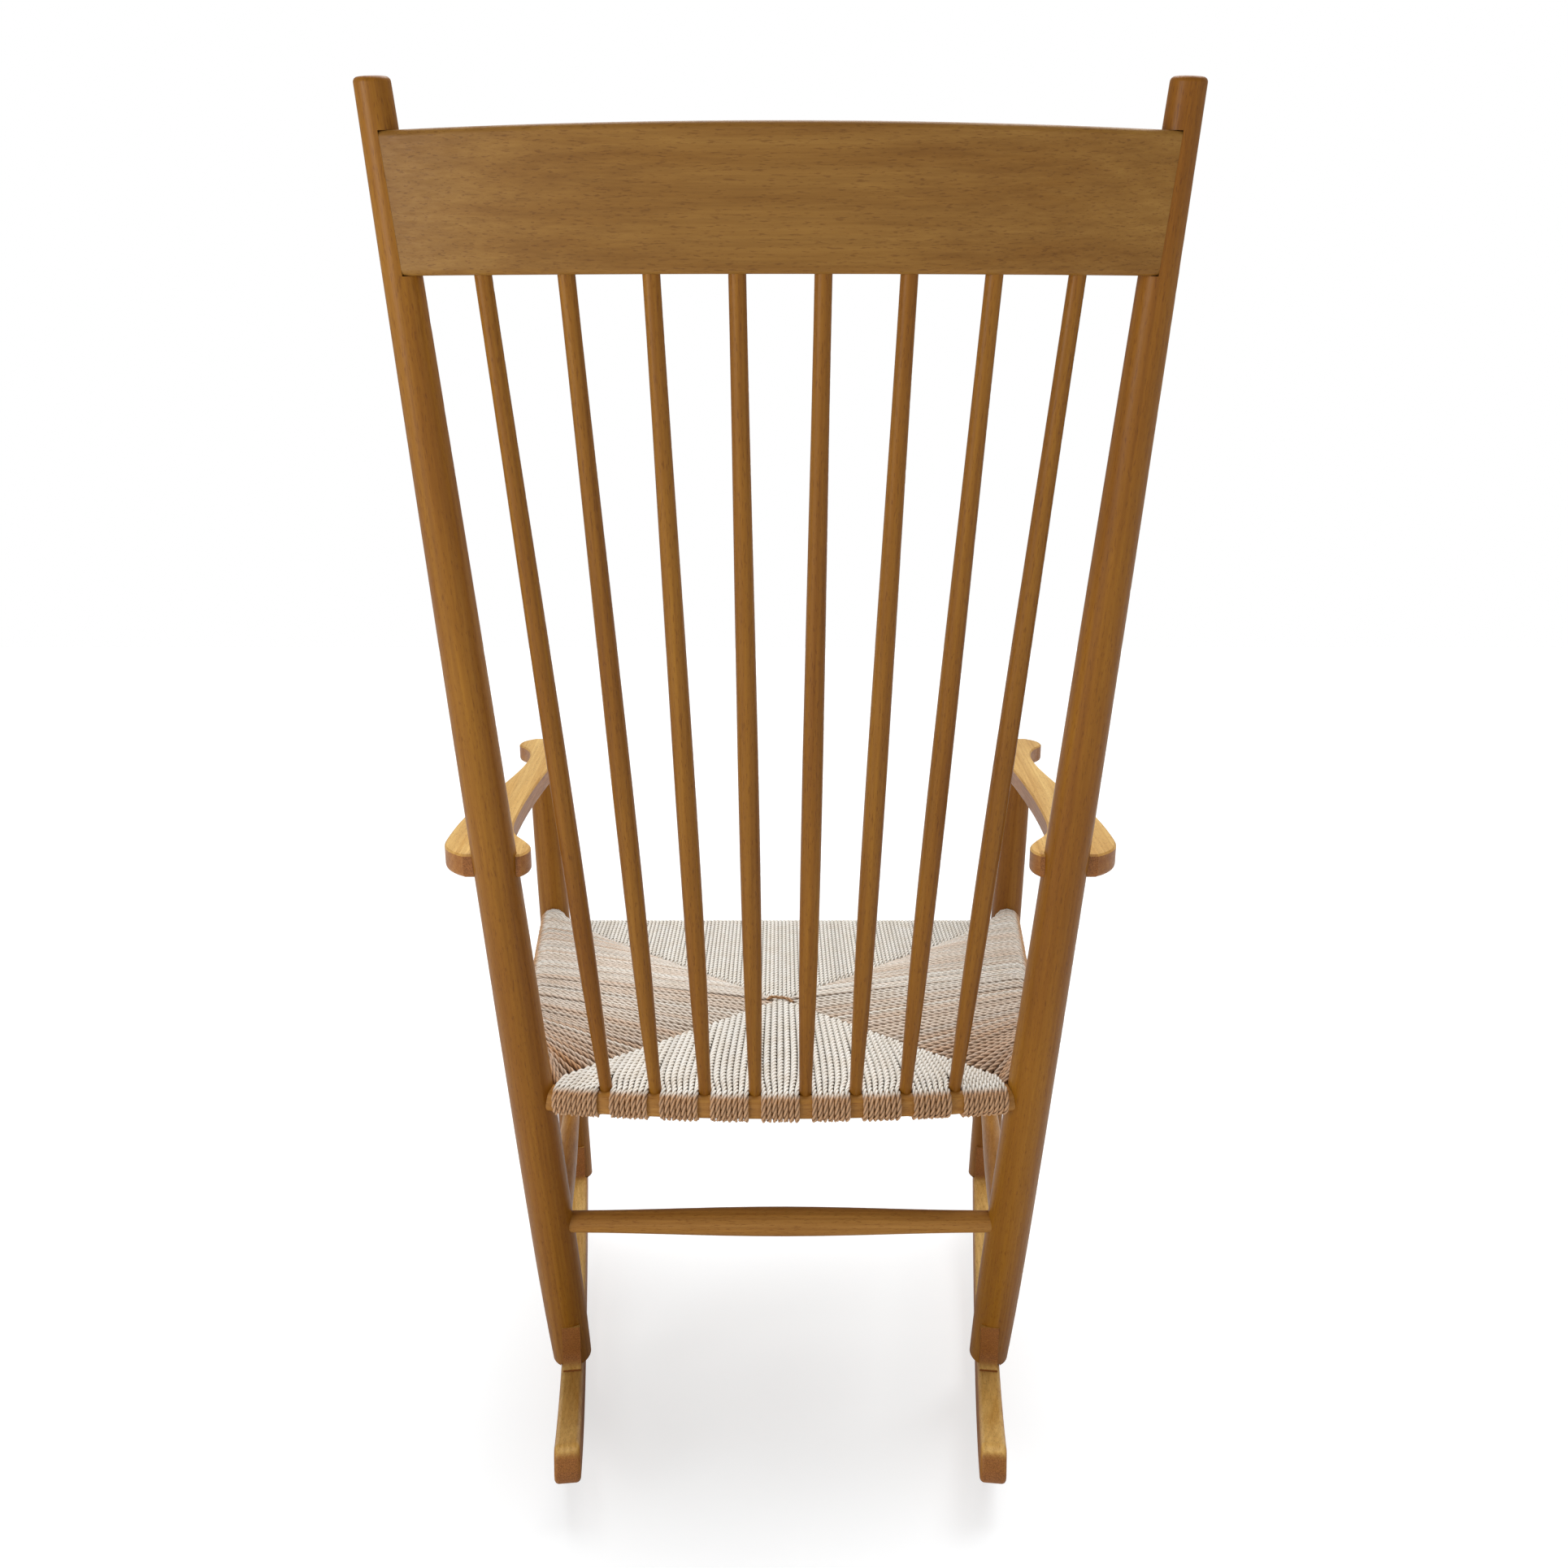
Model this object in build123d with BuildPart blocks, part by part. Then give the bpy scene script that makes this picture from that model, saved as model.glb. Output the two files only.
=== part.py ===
from build123d import *
import os
from math import asin, atan2, cos, radians, sin, sqrt, tan

# Spindle-back rocking chair with a woven cord seat. Millimetres, +Z up.
# The sitter faces -Y, X = 0 is the symmetry plane and the floor is Z = 0.
# A side of +1 is the sitter's left (X > 0), a side of -1 the sitter's right.

# --- Overall -------------------------------------------------------------------
HEIGHT = 1077          # floor to the tops of the back posts
GLUE_GAP = 0.1         # all round each glued tenon, lap and slot
CORD_GAP = 0.3         # between woven cord and the wood beside it

# --- Rockers -------------------------------------------------------------------
BALANCE_Y = 50         # where the rockers touch the floor, under the centre of mass
TAIL_Y = 302.6         # lower corner of the tail tip
TAIL_LIFT = 46.7       # its height above the floor
NOSE_Y = -452.7        # lower corner of the nose tip
NOSE_LIFT = 100
ROCKER_THICK = 22
ROCKER_DEPTH = 42      # at the balance point
TIP_DEPTH = 31         # at both tips
TIP_ROUND = 11         # corners of the tips, seen from the side
ROCKER_EDGE = 4        # softened long edges
TONGUE_THICK = 17      # raised part that the leg's fork straddles
BACK_TONGUE_RISE = 50  # above the rocker's top
FRONT_TONGUE_RISE = 40
COVE_RADIUS = 14       # from the tongue down to the rocker's top

# --- Back posts ----------------------------------------------------------------
BACK_FOOT_X = 205
BACK_FOOT_Y = 98
BACK_FOOT_Z = 42
BACK_LEAN = 17.6       # degrees, towards the back
BACK_SPLAY = 2.22      # degrees, outwards
POST_FOOT_RADIUS = 18.3
POST_LOW_RADIUS = 19.8     # just above the rockers' tongues
POST_SEAT_RADIUS = 19.9
POST_ARM_RADIUS = 17.5
POST_CREST_RADIUS = 12.6
POST_HEAD_RADIUS = 11.1
HEAD_ROUND = 3
FOOT_CHAMFER = 6

# --- Front posts ---------------------------------------------------------------
FRONT_FOOT_X = 255
FRONT_FOOT_Y = -269
FRONT_FOOT_Z = 68
FRONT_LEAN = 6.6
FRONT_SPLAY = 2.1
FRONT_FOOT_RADIUS = 17.2
FRONT_LOW_RADIUS = 18
FRONT_SEAT_RADIUS = 17.2
FRONT_HEAD_RADIUS = 12.8
ARM_TENON_RADIUS = 9
ARM_TENON_LENGTH = 13

# --- Arms ----------------------------------------------------------------------
ARM_BACK_Z = 575       # top face, at the back posts
ARM_SLOPE = 4.5        # degrees, rising to the front
ARM_THICK = 19
ARM_TOP_EDGE = 1.5
ARM_UNDER_EDGE = 4

# --- Crest rail ----------------------------------------------------------------
CREST_DROP = 106       # from the posts' tops down to the crest's lower edge
CREST_LOW_Z = HEIGHT - CREST_DROP
CREST_WIDTH = 80       # up the slope of the back
CREST_CROWN = 4.6      # rise of the upper edge at the middle
CREST_ARCH = 2.5       # rise of the lower edge at the middle
CREST_THICK = 16
CREST_BOW = 24         # the middle stands this far behind the ends
CREST_INSET = 1.2      # the back face lies this far inside the posts' backs
CREST_EDGE = 3.5

# --- Spindles ------------------------------------------------------------------
SPINDLES = 8
SPINDLE_TOP_PITCH = 53.4
SPINDLE_LOW_PITCH = 42.9
SPINDLE_TOP_RADIUS = 5.6
SPINDLE_MID_RADIUS = 7.9
SPINDLE_LOW_RADIUS = 5.4
SPINDLE_TOP_TENON = 20
SPINDLE_LOW_TENON = 14

# --- Seat rails ----------------------------------------------------------------
REAR_RAIL_Z = 348    # rail axes, at the posts
FRONT_RAIL_Z = 394.5
SIDE_RAIL_BACK_Z = 366
SIDE_RAIL_FRONT_Z = 415.5
REAR_RAIL_DEEP = 20    # front to back
REAR_RAIL_TALL = 21
REAR_RAIL_EDGE = 7
REAR_RAIL_BOW = 23
FRONT_RAIL_RADIUS = 10.5
SIDE_RAIL_RADIUS = 11
RAIL_TENON_RADIUS = 7.6
RAIL_TENON_LENGTH = 20

# --- Stretchers ----------------------------------------------------------------
REAR_STRETCHER_Z = 210
SIDE_STRETCHER_BACK_Z = 172
SIDE_STRETCHER_FRONT_Z = 168
FRONT_STRETCHER_Z = 232
STRETCHER_END_RADIUS = 10
REAR_STRETCHER_MID_RADIUS = 13.4
SIDE_STRETCHER_MID_RADIUS = 11.5
FRONT_STRETCHER_MID_RADIUS = 11.5
STRETCHER_TENON = 20

# --- Woven seat ----------------------------------------------------------------
CORD_THICK = 3.8       # one layer of cord round a rail
WEAVE_CENTRE_Y = 1
BARE_GAP = 11.6        # bare rail left at each spindle
WEAVE_DIP = 3          # the seat's centre lies this far below its rails
MITRE_GAP = 0.3        # between two fields, on the diagonal

# --- Hidden dowels -------------------------------------------------------------
CREST_DOWEL_RADIUS = 3
CREST_DOWEL_HALF = 6.5  # length in each piece
ARM_DOWEL_RADIUS = 4
ARM_DOWEL_HALF = 14


def axis_dir(lean, splay, side):
    """Direction of a post that leans back and splays outwards."""
    return Vector(side * tan(radians(splay)), tan(radians(lean)), 1).normalized()


def at_height(foot, direction, z):
    """Point of a post's axis at height z."""
    return foot + direction * ((z - foot.Z) / direction.Z)


def back_axis(side):
    foot = Vector(side * BACK_FOOT_X, BACK_FOOT_Y, BACK_FOOT_Z)
    return foot, axis_dir(BACK_LEAN, BACK_SPLAY, side)


def front_axis(side):
    foot = Vector(side * FRONT_FOOT_X, FRONT_FOOT_Y, FRONT_FOOT_Z)
    return foot, axis_dir(FRONT_LEAN, FRONT_SPLAY, side)


def back_at(side, z):
    return at_height(*back_axis(side), z)


def front_at(side, z):
    return at_height(*front_axis(side), z)


def turning_plane(start, end):
    """Plane through a turned piece's axis: local Y runs from start to end."""
    along = (end - start).normalized()
    helper = Vector(0, 0, 1) if abs(along.Z) < 0.7 else Vector(0, 1, 0)
    across = helper.cross(along).normalized()
    return Plane(origin=start, x_dir=across, z_dir=across.cross(along))


def turned(start, end, stations, grow=0.0):
    """A lathe-turned solid whose (distance, radius) stations run from start to end."""
    plane = turning_plane(start, end)
    low, high = stations[0][0], stations[-1][0]
    with BuildPart() as piece:
        with BuildSketch(plane):
            with BuildLine():
                skin = Spline(*[(radius + grow, along) for along, radius in stations])
                Polyline(skin @ 1, (0, high), (0, low), skin @ 0)
            make_face()
        revolve(axis=Axis(plane.origin, plane.y_dir))
    return piece.part


def rod(start, end, radius):
    """A plain cylinder from start to end."""
    plane = Plane(origin=start, z_dir=end - start)
    with BuildPart() as piece:
        with BuildSketch(plane):
            Circle(radius)
        extrude(amount=(end - start).length)
    return piece.part


# --- Rocker geometry, in the plane that runs through both feet ------------------
TOE = atan2(FRONT_FOOT_X - BACK_FOOT_X, BACK_FOOT_Y - FRONT_FOOT_Y)
BALANCE_X = BACK_FOOT_X + (BACK_FOOT_Y - BALANCE_Y) * tan(TOE)


def rocker_plane(side):
    """Local X runs back along the rocker from the balance point, local Y is up."""
    back = Vector(-side * sin(TOE), cos(TOE), 0)
    across = Vector(cos(TOE), side * sin(TOE), 0)
    return Plane(origin=(side * BALANCE_X, BALANCE_Y, 0), x_dir=back, z_dir=across)


def reach_of(y):
    """Distance along the rocker from the balance point, for a place that far back."""
    return (y - BALANCE_Y) / cos(TOE)


TAIL_REACH, NOSE_REACH = reach_of(TAIL_Y), reach_of(NOSE_Y)


def arc_radius(reach, lift):
    """Radius of an arc that is level at the balance point and has risen by lift at reach."""
    return (reach**2 + lift**2) / (2 * lift)


def rolling_radius(reach):
    """The rolling edge is one arc behind the balance point and a flatter one in front."""
    if reach > 0:
        return arc_radius(TAIL_REACH, TAIL_LIFT)
    return arc_radius(NOSE_REACH, NOSE_LIFT)


def rolling_point(reach, depth=0.0):
    """Point of the rolling edge, or that deep inside the rocker square to the edge."""
    radius = rolling_radius(reach)
    slope = asin(reach / radius)
    return (radius - depth) * sin(slope), radius - (radius - depth) * cos(slope)


def rocker_depth(reach):
    end = TAIL_REACH if reach > 0 else NOSE_REACH
    return ROCKER_DEPTH - (ROCKER_DEPTH - TIP_DEPTH) * (reach / end) ** 2


def crown_points():
    """Points along the rocker's top, nose to tail."""
    reaches = [NOSE_REACH * share for share in (1, 0.75, 0.5, 0.25)]
    reaches += [TAIL_REACH * share for share in (0, 0.33, 0.67, 1)]
    return [rolling_point(reach, rocker_depth(reach)) for reach in reaches]


def rocker_top(reach):
    """Height of the rocker's top above the floor, close to a distance along it."""
    return rolling_point(reach)[1] + rocker_depth(reach)


def rocker_side(grow=0.0):
    """Side view of the bent bar, with its top raised by grow."""
    mid_nose, mid_tail = NOSE_REACH / 2, TAIL_REACH / 2
    with BuildSketch() as side_view:
        with BuildLine():
            ThreePointArc(*[rolling_point(reach) for reach in (NOSE_REACH, mid_nose, 0)])
            ThreePointArc(*[rolling_point(reach) for reach in (0, mid_tail, TAIL_REACH)])
            crown = Spline(*[(x, height + grow) for x, height in crown_points()])
            Line(crown @ 0, rolling_point(NOSE_REACH))
            Line(crown @ 1, rolling_point(TAIL_REACH))
        make_face()
        tips = side_view.vertices().filter_by(lambda corner: abs(corner.X) > TAIL_REACH / 2)
        fillet(tips, TIP_ROUND)
    return side_view.sketch


def tongue_outline(foot_y, foot_z, lean, radius, rise, grow=0.0):
    """Corners of a tongue, which leans with its leg and is as long as the leg is thick."""
    reach = reach_of(foot_y)
    base = rocker_top(reach) - ROCKER_DEPTH / 2
    top = rocker_top(reach) + rise + grow
    slope = tan(radians(lean)) / cos(TOE)
    half = radius / cos(radians(lean)) + grow

    def place(height, shift):
        return reach + (height - foot_z) * slope + shift, height

    return [place(base, -half), place(top, -half), place(top, half), place(base, half)]


TONGUES = (
    (BACK_FOOT_Y, BACK_FOOT_Z, BACK_LEAN, POST_LOW_RADIUS - 0.4, BACK_TONGUE_RISE),
    (FRONT_FOOT_Y, FRONT_FOOT_Z, FRONT_LEAN, FRONT_LOW_RADIUS - 0.4, FRONT_TONGUE_RISE),
)


def tongue_side(foot_y, foot_z, lean, radius, rise):
    """Side view of a tongue with coves down to the rocker's top, cut off inside the bar."""
    with BuildSketch() as side_view:
        add(rocker_side())
        with BuildLine():
            Polyline(*tongue_outline(foot_y, foot_z, lean, radius, rise), close=True)
        make_face()
        coves = side_view.vertices().filter_by(
            lambda corner: abs(corner.Y - rocker_top(corner.X)) < 5
            and abs(corner.X - reach_of(foot_y)) < 2 * radius)
        fillet(coves, COVE_RADIUS)
        window = tongue_outline(foot_y, foot_z, lean, radius, rise, 0.85 * COVE_RADIUS)
        with BuildLine():
            Polyline(*window, close=True)
        make_face(mode=Mode.INTERSECT)
    return side_view.sketch


def build_rocker(side, label):
    plane = rocker_plane(side)
    with BuildPart() as rocker:
        with BuildSketch(plane):
            add(rocker_side())
        extrude(amount=ROCKER_THICK / 2, both=True)
        fillet(rocker.faces().sort_by(Axis.Z)[-1].edges(), ROCKER_EDGE)
        for tongue in TONGUES:
            with BuildSketch(plane):
                add(tongue_side(*tongue))
            extrude(amount=TONGUE_THICK / 2, both=True)
    rocker.part.label = label
    return rocker.part


def rocker_void(side):
    """Room for the rocker and its tongues in the legs, grown by the glue gap."""
    plane = rocker_plane(side)
    with BuildPart() as void:
        with BuildSketch(plane):
            add(rocker_side(GLUE_GAP))
            with Locations((0, -ROCKER_DEPTH / 2)):
                Rectangle(4 * abs(NOSE_REACH), ROCKER_DEPTH)
        extrude(amount=ROCKER_THICK / 2 + GLUE_GAP, both=True)
        for foot_y, foot_z, lean, radius, rise in TONGUES:
            corners = tongue_outline(foot_y, foot_z, lean, 2 * radius, rise, GLUE_GAP)
            with BuildSketch(plane):
                with BuildLine():
                    Polyline(*corners, close=True)
                make_face()
            extrude(amount=TONGUE_THICK / 2 + GLUE_GAP, both=True)
    return void.part


# --- Seat frame geometry --------------------------------------------------------
def rail_bow(span, bow, x):
    """How far a rail bowed by bow over a chord of 2 x span stands back at x."""
    radius = bow_radius(span, bow)
    return sqrt(radius**2 - x**2) - (radius - bow)


def bow_radius(span, bow):
    return (span**2 + bow**2) / (2 * bow)


def rear_rail_heading(side):
    """A point inwards of a post's axis, in line with the end of the bowed rear rail."""
    end = back_at(side, REAR_RAIL_Z)
    drop = bow_radius(abs(end.X), REAR_RAIL_BOW) - REAR_RAIL_BOW
    return end + Vector(-side * drop, abs(end.X), 0)


def rear_rail_y(x):
    end = back_at(1, REAR_RAIL_Z)
    return end.Y + rail_bow(end.X, REAR_RAIL_BOW, x)


# --- Crest geometry -------------------------------------------------------------
CREST_UP = axis_dir(BACK_LEAN, 0, 1)
CREST_BACKWARD = Vector(0, CREST_UP.Z, -CREST_UP.Y)


def crest_plane(rise=0.0):
    """Plane square to the crest, at its lower edge: local Y points backwards."""
    post = back_at(1, CREST_LOW_Z)
    proud = POST_CREST_RADIUS - CREST_INSET
    origin = Vector(0, post.Y, CREST_LOW_Z) + CREST_BACKWARD * (proud - CREST_THICK / 2)
    return Plane(origin=origin + CREST_UP * rise, x_dir=(1, 0, 0), z_dir=CREST_UP)


def crest_mid(x, rise=0.0):
    """Point on the middle of the crest's thickness, rise above its lower edge."""
    chord = back_at(1, CREST_LOW_Z).X
    return crest_plane(rise).from_local_coords((x, rail_bow(chord, CREST_BOW, x), 0))


def crest_blank(grow=0.0):
    """The bent board between the posts' axes, grown all round by grow."""
    chord = back_at(1, CREST_LOW_Z).X
    half = CREST_THICK / 2 + grow
    radius = bow_radius(chord, CREST_BOW)
    with BuildPart() as board:
        with BuildSketch(crest_plane(-grow)):
            with Locations((0, CREST_BOW - radius)):
                Circle(radius + half)
                Circle(radius - half, mode=Mode.SUBTRACT)
            Rectangle(2 * chord + 60, 4 * CREST_BOW + 2 * CREST_THICK, mode=Mode.INTERSECT)
        extrude(amount=CREST_WIDTH + CREST_CROWN + 2 * grow)
        front = Plane(origin=crest_plane().origin, x_dir=(1, 0, 0), z_dir=-CREST_BACKWARD)
        low = (chord + grow, -grow)
        high = (low[0] + tan(radians(BACK_SPLAY)) * CREST_WIDTH, CREST_WIDTH + grow)
        with BuildSketch(front):
            with BuildLine():
                ThreePointArc((-low[0], low[1]), (0, CREST_ARCH - grow), low)
                Line(low, high)
                ThreePointArc(high, (0, CREST_WIDTH + CREST_CROWN + grow), (-high[0], high[1]))
                Line((-high[0], high[1]), (-low[0], low[1]))
            make_face()
        extrude(amount=4 * CREST_BOW, both=True, mode=Mode.INTERSECT)
    return board.part


def crest_dowel_points(side):
    """Centres of the two dowels where the crest laps a post, on the joint's flat."""
    points = []
    for share in (0.25, 0.75):
        rise = share * CREST_WIDTH
        x = abs(at_height(*back_axis(1), CREST_LOW_Z + rise * CREST_UP.Z).X) - 5
        mid = crest_mid(side * x, rise)
        points.append(mid - CREST_BACKWARD * (CREST_THICK / 2))
    return points


# --- Arm geometry ---------------------------------------------------------------
def arm_plane():
    """The arms' top face: local Y points back and down the slope."""
    post = back_at(1, ARM_BACK_Z)
    slope = radians(ARM_SLOPE)
    return Plane(origin=(0, post.Y, ARM_BACK_Z), x_dir=(1, 0, 0), z_dir=(0, sin(slope), cos(slope)))


def arm_under_z(y):
    """Height of the arm's underside at y."""
    post = back_at(1, ARM_BACK_Z)
    slope = radians(ARM_SLOPE)
    return ARM_BACK_Z + (post.Y - y) * tan(slope) - ARM_THICK / cos(slope)


# --- Legs -----------------------------------------------------------------------
def back_post_stations():
    """Distances up a back post's axis and its radii there."""
    rise = Vector(0, 0, 1).dot(axis_dir(BACK_LEAN, BACK_SPLAY, 1))

    def up(z):
        return (z - BACK_FOOT_Z) / rise

    lean = radians(BACK_LEAN)
    head = HEIGHT - (POST_HEAD_RADIUS - HEAD_ROUND) * sin(lean) - HEAD_ROUND * (1 - cos(lean))
    return [(0, POST_FOOT_RADIUS), (up(BACK_FOOT_Z + 80), POST_LOW_RADIUS),
            (up(REAR_RAIL_Z - 70), POST_SEAT_RADIUS), (up(ARM_BACK_Z), POST_ARM_RADIUS),
            (up(CREST_LOW_Z), POST_CREST_RADIUS), (up(head), POST_HEAD_RADIUS)]


def front_post_stations():
    """The front post's stations, which run on past the arm's underside."""
    rise = axis_dir(FRONT_LEAN, FRONT_SPLAY, 1).Z
    top = arm_under_z(front_at(1, ARM_BACK_Z).Y)

    def up(z):
        return (z - FRONT_FOOT_Z) / rise

    return [(0, FRONT_FOOT_RADIUS), (up(FRONT_FOOT_Z + 80), FRONT_LOW_RADIUS),
            (up(SIDE_RAIL_FRONT_Z), FRONT_SEAT_RADIUS), (up(top + ARM_THICK), FRONT_HEAD_RADIUS)]


def back_post_bores(side):
    """Bores for the rails, stretchers and dowels that end in one back post."""
    rail = back_at(side, REAR_RAIL_Z)
    side_rail, side_front = side_rail_ends(side)
    stretcher = back_at(side, REAR_STRETCHER_Z)
    side_stretcher = back_at(side, SIDE_STRETCHER_BACK_Z)
    bores = [
        bore(rail, rear_rail_heading(side), RAIL_TENON_RADIUS, POST_SEAT_RADIUS,
             RAIL_TENON_LENGTH),
        bore(side_rail, side_front, RAIL_TENON_RADIUS, POST_SEAT_RADIUS, RAIL_TENON_LENGTH),
        bore(stretcher, back_at(-side, REAR_STRETCHER_Z), STRETCHER_END_RADIUS,
             POST_LOW_RADIUS, STRETCHER_TENON),
        bore(side_stretcher, front_at(side, SIDE_STRETCHER_FRONT_Z), STRETCHER_END_RADIUS,
             POST_LOW_RADIUS, STRETCHER_TENON),
        arm_dowel(side, GLUE_GAP),
    ]
    return bores + crest_dowel_solids(side, GLUE_GAP)


def bore(axis_point, toward, radius, post_radius, depth):
    """A bore from a post's skin towards its far side, for a tenon of that radius and depth."""
    reach = (toward - axis_point).normalized()
    mouth = axis_point + reach * (post_radius + 6)
    floor = axis_point + reach * (post_radius - depth - GLUE_GAP)
    return rod(floor, mouth, radius + GLUE_GAP)


def tenon_tip(axis_point, toward, post_radius, depth):
    """Where a tenon of that depth ends inside a post."""
    return axis_point + (toward - axis_point).normalized() * (post_radius - depth)


def side_rail_ends(side):
    return back_at(side, SIDE_RAIL_BACK_Z), front_at(side, SIDE_RAIL_FRONT_Z)


def arm_dowel(side, grow=0.0):
    """The dowel from the arm's notch into the back post."""
    centre = back_at(side, ARM_BACK_Z - ARM_THICK / 2)
    forward = -arm_plane().y_dir
    notch = centre + forward * POST_ARM_RADIUS
    half = ARM_DOWEL_HALF + grow
    return rod(notch - forward * half, notch + forward * half, ARM_DOWEL_RADIUS + grow)


def crest_dowel_solids(side, grow=0.0):
    half = CREST_DOWEL_HALF + grow
    return [rod(point - CREST_BACKWARD * half, point + CREST_BACKWARD * half,
                CREST_DOWEL_RADIUS + grow) for point in crest_dowel_points(side)]


def build_back_post(side, label):
    foot, up = back_axis(side)
    stations = back_post_stations()
    blank = turned(foot, foot + up * stations[-1][0], stations)
    with BuildPart() as post:
        add(blank)
        ends = post.edges().filter_by(GeomType.CIRCLE).sort_by(Axis.Z)
        fillet(ends[-1], HEAD_ROUND)
        chamfer(ends[0], FOOT_CHAMFER)
        add(rocker_void(side), mode=Mode.SUBTRACT)
        add(crest_blank(GLUE_GAP), mode=Mode.SUBTRACT)
        for cut in back_post_bores(side):
            add(cut, mode=Mode.SUBTRACT)
    post.part.label = label
    return post.part


def build_front_post(side, label):
    foot, up = front_axis(side)
    stations = front_post_stations()
    blank = turned(foot, foot + up * stations[-1][0], stations)
    under = arm_plane().offset(-ARM_THICK - GLUE_GAP)
    shoulder = front_at(side, arm_under_z(front_at(1, ARM_BACK_Z).Y))
    rail = front_at(side, FRONT_RAIL_Z)
    back_end, front_end = side_rail_ends(side)
    stretcher = front_at(side, FRONT_STRETCHER_Z)
    side_stretcher = front_at(side, SIDE_STRETCHER_FRONT_Z)
    with BuildPart() as post:
        add(blank)
        chamfer(post.edges().filter_by(GeomType.CIRCLE).sort_by(Axis.Z)[0], FOOT_CHAMFER)
        split(bisect_by=under, keep=Keep.BOTTOM)
        add(rod(shoulder - up * 8, shoulder + up * ARM_TENON_LENGTH, ARM_TENON_RADIUS))
        add(rocker_void(side), mode=Mode.SUBTRACT)
        for cut in (
            bore(rail, front_at(-side, FRONT_RAIL_Z), RAIL_TENON_RADIUS, FRONT_SEAT_RADIUS,
                 RAIL_TENON_LENGTH),
            bore(front_end, back_end, RAIL_TENON_RADIUS, FRONT_SEAT_RADIUS, RAIL_TENON_LENGTH),
            bore(stretcher, front_at(-side, FRONT_STRETCHER_Z), STRETCHER_END_RADIUS,
                 FRONT_LOW_RADIUS, STRETCHER_TENON),
            bore(side_stretcher, back_at(side, SIDE_STRETCHER_BACK_Z), STRETCHER_END_RADIUS,
                 FRONT_LOW_RADIUS, STRETCHER_TENON),
        ):
            add(cut, mode=Mode.SUBTRACT)
    post.part.label = label
    return post.part


# --- Arms -----------------------------------------------------------------------
# Plan of one arm on its top face: distance from the symmetry plane and distance
# along the slope from the back post's axis, negative towards the front.
ARM_OUTER = ((250, 3), (268, -19), (277, -62), (281.5, -150), (279.5, -230), (277, -330),
             (279, -425), (287.5, -478), (300.5, -509))
ARM_HOOK = ((300.5, -509), (309, -542), (296, -569))
ARM_FRONT = ((296, -569), (272, -563), (258, -540))
ARM_INNER = ((258, -540), (251, -480), (247.5, -397), (243, -260), (234, -130), (220, -65),
             (204.5, -35), (200, -14), (204.5, 3))


def build_arm(side, label):
    plane = arm_plane()
    foot, up = back_axis(side)
    stations = back_post_stations()
    post_room = turned(foot, foot + up * stations[-1][0], stations, GLUE_GAP)
    shoulder = front_at(side, arm_under_z(front_at(1, ARM_BACK_Z).Y))
    front_up = front_axis(side)[1]

    def mirrored(points):
        return [(side * x, y) for x, y in points]

    with BuildPart() as arm:
        with BuildSketch(plane):
            with BuildLine():
                Spline(*mirrored(ARM_OUTER))
                ThreePointArc(*mirrored(ARM_HOOK))
                Spline(*mirrored(ARM_FRONT))
                Spline(*mirrored(ARM_INNER))
                Line(*mirrored((ARM_INNER[-1], ARM_OUTER[0])))
            make_face()
        extrude(amount=-ARM_THICK)
        upwards = Axis(plane.origin, plane.z_dir)
        fillet(arm.faces().sort_by(upwards)[0].edges(), ARM_UNDER_EDGE)
        chamfer(arm.faces().sort_by(upwards)[-1].edges(), ARM_TOP_EDGE)
        add(post_room, mode=Mode.SUBTRACT)
        add(rod(shoulder - front_up * 10, shoulder + front_up * (ARM_TENON_LENGTH + GLUE_GAP),
                ARM_TENON_RADIUS + GLUE_GAP), mode=Mode.SUBTRACT)
        add(arm_dowel(side, GLUE_GAP), mode=Mode.SUBTRACT)
    arm.part.label = label
    return arm.part


# --- Back -----------------------------------------------------------------------
def spindle_ends(number):
    """Where a spindle's axis meets the rear rail's top and the crest's lower edge."""
    place = number - (SPINDLES + 1) / 2
    low_x, top_x = place * SPINDLE_LOW_PITCH, place * SPINDLE_TOP_PITCH
    low = Vector(low_x, rear_rail_y(low_x), REAR_RAIL_Z + REAR_RAIL_TALL / 2)
    chord = back_at(1, CREST_LOW_Z).X
    arch = CREST_ARCH * (1 - (top_x / chord) ** 2)
    return low, crest_mid(top_x, arch)


def spindle_tips(number):
    low, top = spindle_ends(number)
    up = (top - low).normalized()
    return low - up * SPINDLE_LOW_TENON, top + up * SPINDLE_TOP_TENON


def spindle_bore(number, end):
    """A bore for one end of a spindle: end 0 is in the rail, end 1 in the crest."""
    meets = spindle_ends(number)[end]
    tip = spindle_tips(number)[end]
    into = (tip - meets).normalized()
    radius = (SPINDLE_LOW_RADIUS, SPINDLE_TOP_RADIUS)[end]
    return rod(meets - into * 5, tip + into * GLUE_GAP, radius + GLUE_GAP)


def build_spindle(number, label):
    low_tip, top_tip = spindle_tips(number)
    length = (top_tip - low_tip).length
    clear = length - SPINDLE_LOW_TENON - SPINDLE_TOP_TENON
    start = SPINDLE_LOW_TENON
    stations = [(0, SPINDLE_LOW_RADIUS), (start, SPINDLE_LOW_RADIUS),
                (start + 0.1 * clear, SPINDLE_LOW_RADIUS + 1.1),
                (start + 0.33 * clear, SPINDLE_MID_RADIUS),
                (start + 0.7 * clear, (SPINDLE_MID_RADIUS + SPINDLE_TOP_RADIUS) / 2),
                (start + clear, SPINDLE_TOP_RADIUS), (length, SPINDLE_TOP_RADIUS)]
    spindle = turned(low_tip, top_tip, stations)
    spindle.label = label
    return spindle


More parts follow.
